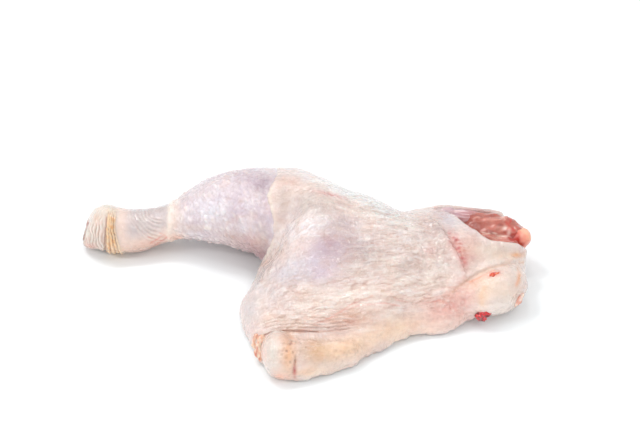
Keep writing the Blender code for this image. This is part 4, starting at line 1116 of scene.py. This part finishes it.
# ------------------------------------------------------------------ materials
def tissue(name, rough=(0.30, 0.52), sss=0.22, bump=0.25, coat=0.25, speck=0.35, grain=1.0, wrinkle=0.0):
    """Moist tissue: the painted tint, fine mottling, painted shade in the grooves and along fine wrinkle lines, painted
    highlight on the ridges between them, paler raised spots, and a finer grain and gloss than the mesh holds."""
    m = bpy.data.materials.new(name)
    m.use_nodes = True
    nt = m.node_tree
    nt.nodes.clear()
    new = nt.nodes.new
    link = nt.links.new
    out = new("ShaderNodeOutputMaterial")
    shader = new("ShaderNodeBsdfPrincipled")
    link(shader.outputs["BSDF"], out.inputs["Surface"])
    coord = new("ShaderNodeTexCoord")

    def attribute(key):
        node = new("ShaderNodeAttribute")
        node.attribute_name = key
        return node

    def noise_node(scale, detail=3.0, roughness=0.55, distortion=0.0):
        node = new("ShaderNodeTexNoise")
        node.inputs["Scale"].default_value = scale
        node.inputs["Detail"].default_value = detail
        node.inputs["Roughness"].default_value = roughness
        node.inputs["Distortion"].default_value = distortion
        link(coord.outputs["Object"], node.inputs["Vector"])
        return node.outputs["Fac"]

    def scaled(value, a, b, lo=0.0, hi=1.0):
        node = new("ShaderNodeMapRange")
        node.inputs["From Min"].default_value = a
        node.inputs["From Max"].default_value = b
        node.inputs["To Min"].default_value = lo
        node.inputs["To Max"].default_value = hi
        link(value, node.inputs["Value"])
        return node.outputs["Result"]

    def blend(factor, a, b, kind="MIX"):
        node = new("ShaderNodeMix")
        node.data_type = "RGBA"
        node.blend_type = kind
        for key, value in (("Factor", factor), ("A", a), ("B", b)):
            socket = [s for s in node.inputs if s.name == key and s.type == ("VALUE" if key == "Factor" else "RGBA")][0]
            if hasattr(value, "is_linked"):
                link(value, socket)
            elif key == "Factor":
                socket.default_value = value
            else:
                socket.default_value = (*value, 1.0)
        return [s for s in node.outputs if s.type == "RGBA"][0]

    def maths(kind, a, b):
        node = new("ShaderNodeMath")
        node.operation = kind
        for socket, value in zip(node.inputs, (a, b)):
            if hasattr(value, "is_linked"):
                link(value, socket)
            else:
                socket.default_value = value
        return node.outputs[0]

    tint = attribute("tint").outputs["Color"]
    fine = scaled(noise_node(620 * grain, 4.0, 0.6), 0.3, 0.7)
    broad = scaled(noise_node(120 * grain, 3.0, 0.55), 0.35, 0.65)
    base = blend(maths("MULTIPLY", fine, 0.35), tint, (0.92, 0.90, 0.89), "MULTIPLY")
    base = blend(maths("MULTIPLY", broad, 0.25), base, (1.0, 0.94, 0.90), "MULTIPLY")
    # Fine wrinkles running with the skin: painted shade in thin grey-brown lines, and painted highlight on the paler
    # ridges between them
    spread_out = new("ShaderNodeTexNoise")
    spread_out.inputs["Scale"].default_value = 330.0
    spread_out.inputs["Detail"].default_value = 4.0
    spread_out.inputs["Roughness"].default_value = 0.62
    spread_out.inputs["Distortion"].default_value = 0.35
    link(attribute("flow").outputs["Vector"], spread_out.inputs["Vector"])
    lines = spread_out.outputs["Fac"]
    where = attribute("rough").outputs["Fac"]
    thin = scaled(lines, 0.49, 0.40)
    pale = scaled(lines, 0.54, 0.64)
    base = blend(maths("MULTIPLY", maths("MULTIPLY", thin, where), 0.85), base, (0.82, 0.75, 0.71), "MULTIPLY")
    base = blend(maths("MULTIPLY", maths("MULTIPLY", pale, where), 0.45), base, (0.95, 0.92, 0.89))
    # Small blood points and pores
    pores = new("ShaderNodeTexVoronoi")
    pores.inputs["Scale"].default_value = 420 * grain
    link(coord.outputs["Object"], pores.inputs["Vector"])
    dot = scaled(pores.outputs["Distance"], 0.16, 0.06)
    sparse = scaled(noise_node(210 * grain, 2.0), 0.56, 0.66)
    dots = maths("MULTIPLY", maths("MULTIPLY", dot, sparse), speck)
    base = blend(dots, base, (0.62, 0.36, 0.29), "MULTIPLY")
    # painted shade: darker where the groove attribute marks grooves, folds and creases
    base = blend(maths("MULTIPLY", attribute("groove").outputs["Fac"], 0.75), base, (0.78, 0.66, 0.60), "MULTIPLY")
    base = blend(1.0, base, (0.97, 0.97, 0.97), "MULTIPLY")
    link(base, shader.inputs["Base Color"])

    wet = attribute("wet").outputs["Fac"]
    patch = scaled(noise_node(260 * grain, 3.0, 0.6), 0.35, 0.7, rough[0], rough[1])
    link(maths("SUBTRACT", patch, maths("MULTIPLY", wet, 0.10)), shader.inputs["Roughness"])
    shader.inputs["Subsurface Weight"].default_value = sss
    shader.inputs["Subsurface Radius"].default_value = (1.0, 0.45, 0.30)
    shader.inputs["Subsurface Scale"].default_value = 0.0017
    shader.inputs["Coat Weight"].default_value = coat
    shader.inputs["Coat Roughness"].default_value = 0.07
    shader.inputs["Coat IOR"].default_value = 1.65
    shader.inputs["Specular IOR Level"].default_value = 0.5
    shader.inputs["IOR"].default_value = 1.40

    # Fine relief: skin grain and pores
    g1 = noise_node(900 * grain, 3.0, 0.6)
    g2 = noise_node(380 * grain, 2.0, 0.5)
    relief = maths("ADD", maths("MULTIPLY", g1, 0.6), maths("MULTIPLY", dot, -0.25))
    relief = maths("ADD", relief, maths("MULTIPLY", g2, 0.9))
    if wrinkle:
        relief = maths("ADD", relief, maths("MULTIPLY", maths("MULTIPLY", lines, where), wrinkle))
    bumps = new("ShaderNodeBump")
    bumps.inputs["Strength"].default_value = bump
    bumps.inputs["Distance"].default_value = 0.0008
    link(relief, bumps.inputs["Height"])
    link(bumps.outputs["Normal"], shader.inputs["Normal"])
    wavy = maths("ADD", maths("MULTIPLY", g2, 1.3), maths("MULTIPLY", g1, 0.2))
    if wrinkle:
        runs = new("ShaderNodeTexNoise")
        runs.inputs["Scale"].default_value = 460.0
        runs.inputs["Detail"].default_value = 1.0
        runs.inputs["Distortion"].default_value = 0.3
        link(attribute("flow").outputs["Vector"], runs.inputs["Vector"])
        wavy = maths("ADD", wavy, maths("MULTIPLY", maths("MULTIPLY", runs.outputs["Fac"], where), 0.8 * wrinkle))
    sharp = new("ShaderNodeBump")
    sharp.inputs["Strength"].default_value = min(1.0, bump * 1.4)
    sharp.inputs["Distance"].default_value = 0.0012
    link(wavy, sharp.inputs["Height"])
    link(sharp.outputs["Normal"], shader.inputs["Coat Normal"])
    return m


def give(obj, material, replaced=True):
    obj.data.materials.clear()
    obj.data.materials.append(material)
    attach(obj, "root")
    if replaced:
        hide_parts("leg_quarter")
    return obj


skin_drum = tissue("drumstick_skin", rough=(0.22, 0.42), coat=0.95, bump=0.55, speck=0.2)
skin_thigh = tissue("thigh_skin", rough=(0.24, 0.46), coat=0.95, bump=0.75, wrinkle=2.0)
wet_meat = tissue("wet_meat", rough=(0.16, 0.30), coat=0.9, bump=0.35, speck=0.1)
wet_fat = tissue("wet_fat", rough=(0.20, 0.36), coat=0.6, bump=0.3, speck=0.1)

give(make_drum(), skin_drum)
give(flat_base(make_thigh()), skin_thigh)
give(make_meat(), wet_meat)
give(make_knuckle(), wet_fat)
give(make_membrane(), wet_fat)
give(lump("hock_joint", union(1.0, egg((-130.0, -22.6, 12.2), (2.0, 3.8, 4.2), 0, -24), egg((-129.6, -28.2, 11.4), (1.9, 3.4, 4.0), 0, -24)),
          (-136, -34, 4), (-125, -16, 20), rgb(206, 178, 166), rgb(140, 66, 58), 2.2, 80), wet_fat)
give(lump("red_clot", union(0.7, egg((85.6, -89.8, 7.6), (2.4, 2.2, 2.4)), egg((88.8, -89.6, 8.4), (2.5, 2.4, 2.5)), egg((91.2, -88.6, 8.8), (1.6, 1.9, 1.9)), egg((87.0, -89.0, 5.4), (2.9, 2.4, 2.6))),
          (80, -94, -1), (95, -84, 13), rgb(224, 14, 26), rgb(120, 0, 8), 1.3, 84, rough=0.6), wet_meat)
give(lump("pink_nub", union(1.5, roll_of((104.6, -80.6, 7.2), (108.4, -79.4, 12.2), 2.4, 1.9), egg((106.4, -80.0, 9.0), (2.6, 2.6, 2.8))),
          (98, -88, 1), (114, -73, 19), rgb(243, 214, 198), rgb(232, 168, 150), 2.4, 88, rough=0.3), wet_fat)
give(lump("fat_bits", union(0.5,
          roll_of((-30.6, -112.2, 12.8), (-32.4, -115.4, 5.0), 2.3, 2.4), roll_of((-33.6, -108.6, 10.4), (-34.0, -110.6, 6.0), 1.8, 2.1),
          roll_of((-30.9, -116.6, 6.4), (-30.9, -118.0, 3.4), 1.5, 1.8)),
          (-41, -129, -1), (-24, -103, 18), rgb(243, 219, 195), rgb(226, 170, 144), 2.2, 92, rough=0.4,
          accent=lambda p, c: mix(c, rgb(196, 104, 84), ease(0.2, 0.5, noise(p / np.array([2.0, 2.0, 4.0]), 95)) * 0.7)), wet_fat)
give(lump("orange_fat", union(0.5, egg((92.2, -77.8, 25.3), (2.0, 1.3, 1.8), 12, 0), egg((95.8, -76.9, 25.3), (1.9, 1.2, 1.4), 12, 0), egg((94.0, -77.5, 25.1), (2.8, 1.3, 1.75), 12, 0)),
          (88, -82, 20), (100, -72, 30), rgb(234, 120, 78), rgb(204, 54, 36), 1.2, 96, rough=0.45, step=0.25), wet_fat)

# ------------------------------------------------------------------ table, light and camera
floor_mesh = bpy.data.meshes.new("table")
floor_mesh.from_pydata([(-3, -3, 0), (3, -3, 0), (3, 3, 0), (-3, 3, 0)], [], [(0, 1, 2, 3)])
floor = bpy.data.objects.new("table", floor_mesh)
bpy.context.scene.collection.objects.link(floor)
white = bpy.data.materials.new("table_white")
white.use_nodes = True
white.node_tree.nodes["Principled BSDF"].inputs["Base Color"].default_value = (0.90, 0.935, 0.95, 1)
white.node_tree.nodes["Principled BSDF"].inputs["Roughness"].default_value = 0.9
white.node_tree.nodes["Principled BSDF"].inputs["Specular IOR Level"].default_value = 0.1
floor_mesh.materials.append(white)
floor.location.z = -0.0002

world = bpy.data.worlds.new("studio")
bpy.context.scene.world = world
world.use_nodes = True
world.node_tree.nodes["Background"].inputs["Color"].default_value = (1.0, 1.0, 1.0, 1)
world.node_tree.nodes["Background"].inputs["Strength"].default_value = 0.705


def softbox(name, place, target, size, power, colour=(1, 1, 1)):
    lamp = bpy.data.lights.new(name, "AREA")
    lamp.shape = "RECTANGLE"
    lamp.size, lamp.size_y = size
    lamp.energy = power
    lamp.color = colour
    obj = bpy.data.objects.new(name, lamp)
    obj.location = place
    way = Vector(target) - Vector(place)
    obj.rotation_euler = way.to_track_quat("-Z", "Y").to_euler()
    bpy.context.scene.collection.objects.link(obj)
    return obj


softbox("overhead", (0.0, 0.15, 1.35), (0, 0, 0.02), (1.1, 1.1), 1.0)
softbox("main", (-0.54, 0.32, 1.19), (0, 0, 0.02), (0.34, 0.34), 2.7)
softbox("front", (0.25, -1.4, 0.38), (0, 0, 0.02), (1.2, 0.5), 3.7)
softbox("window", (-1.21, -0.22, 0.78), (0, 0, 0.02), (0.32, 0.32), 2.6)
softbox("sparkle_back", (-0.42, 0.38, 1.15), (0, 0, 0.02), (0.12, 0.12), 1.5)
softbox("sparkle_left", (-0.93, -0.34, 0.99), (0, 0, 0.02), (0.12, 0.12), 1.3)
softbox("sparkle_right", (0.57, -0.33, 1.24), (0, 0, 0.02), (0.12, 0.12), 1.4)
softbox("sparkle_far", (0.62, 0.52, 1.15), (0, 0, 0.02), (0.12, 0.12), 1.4)
softbox("sparkle_top", (0.02, 0.42, 1.28), (0, 0, 0.02), (0.12, 0.12), 1.5)

camera_data = bpy.data.cameras.new("camera")
camera_data.lens, camera_data.sensor_width = LENS, SENSOR
camera = bpy.data.objects.new("camera", camera_data)
camera.location = Vector(((EYE - MIDDLE) * 0.001).tolist())
camera.rotation_euler = Vector(AHEAD.tolist()).to_track_quat("-Z", "Y").to_euler()
bpy.context.scene.collection.objects.link(camera)
bpy.context.scene.camera = camera
bpy.context.scene.view_settings.view_transform = "Standard"
bpy.context.scene.view_settings.look = "None"
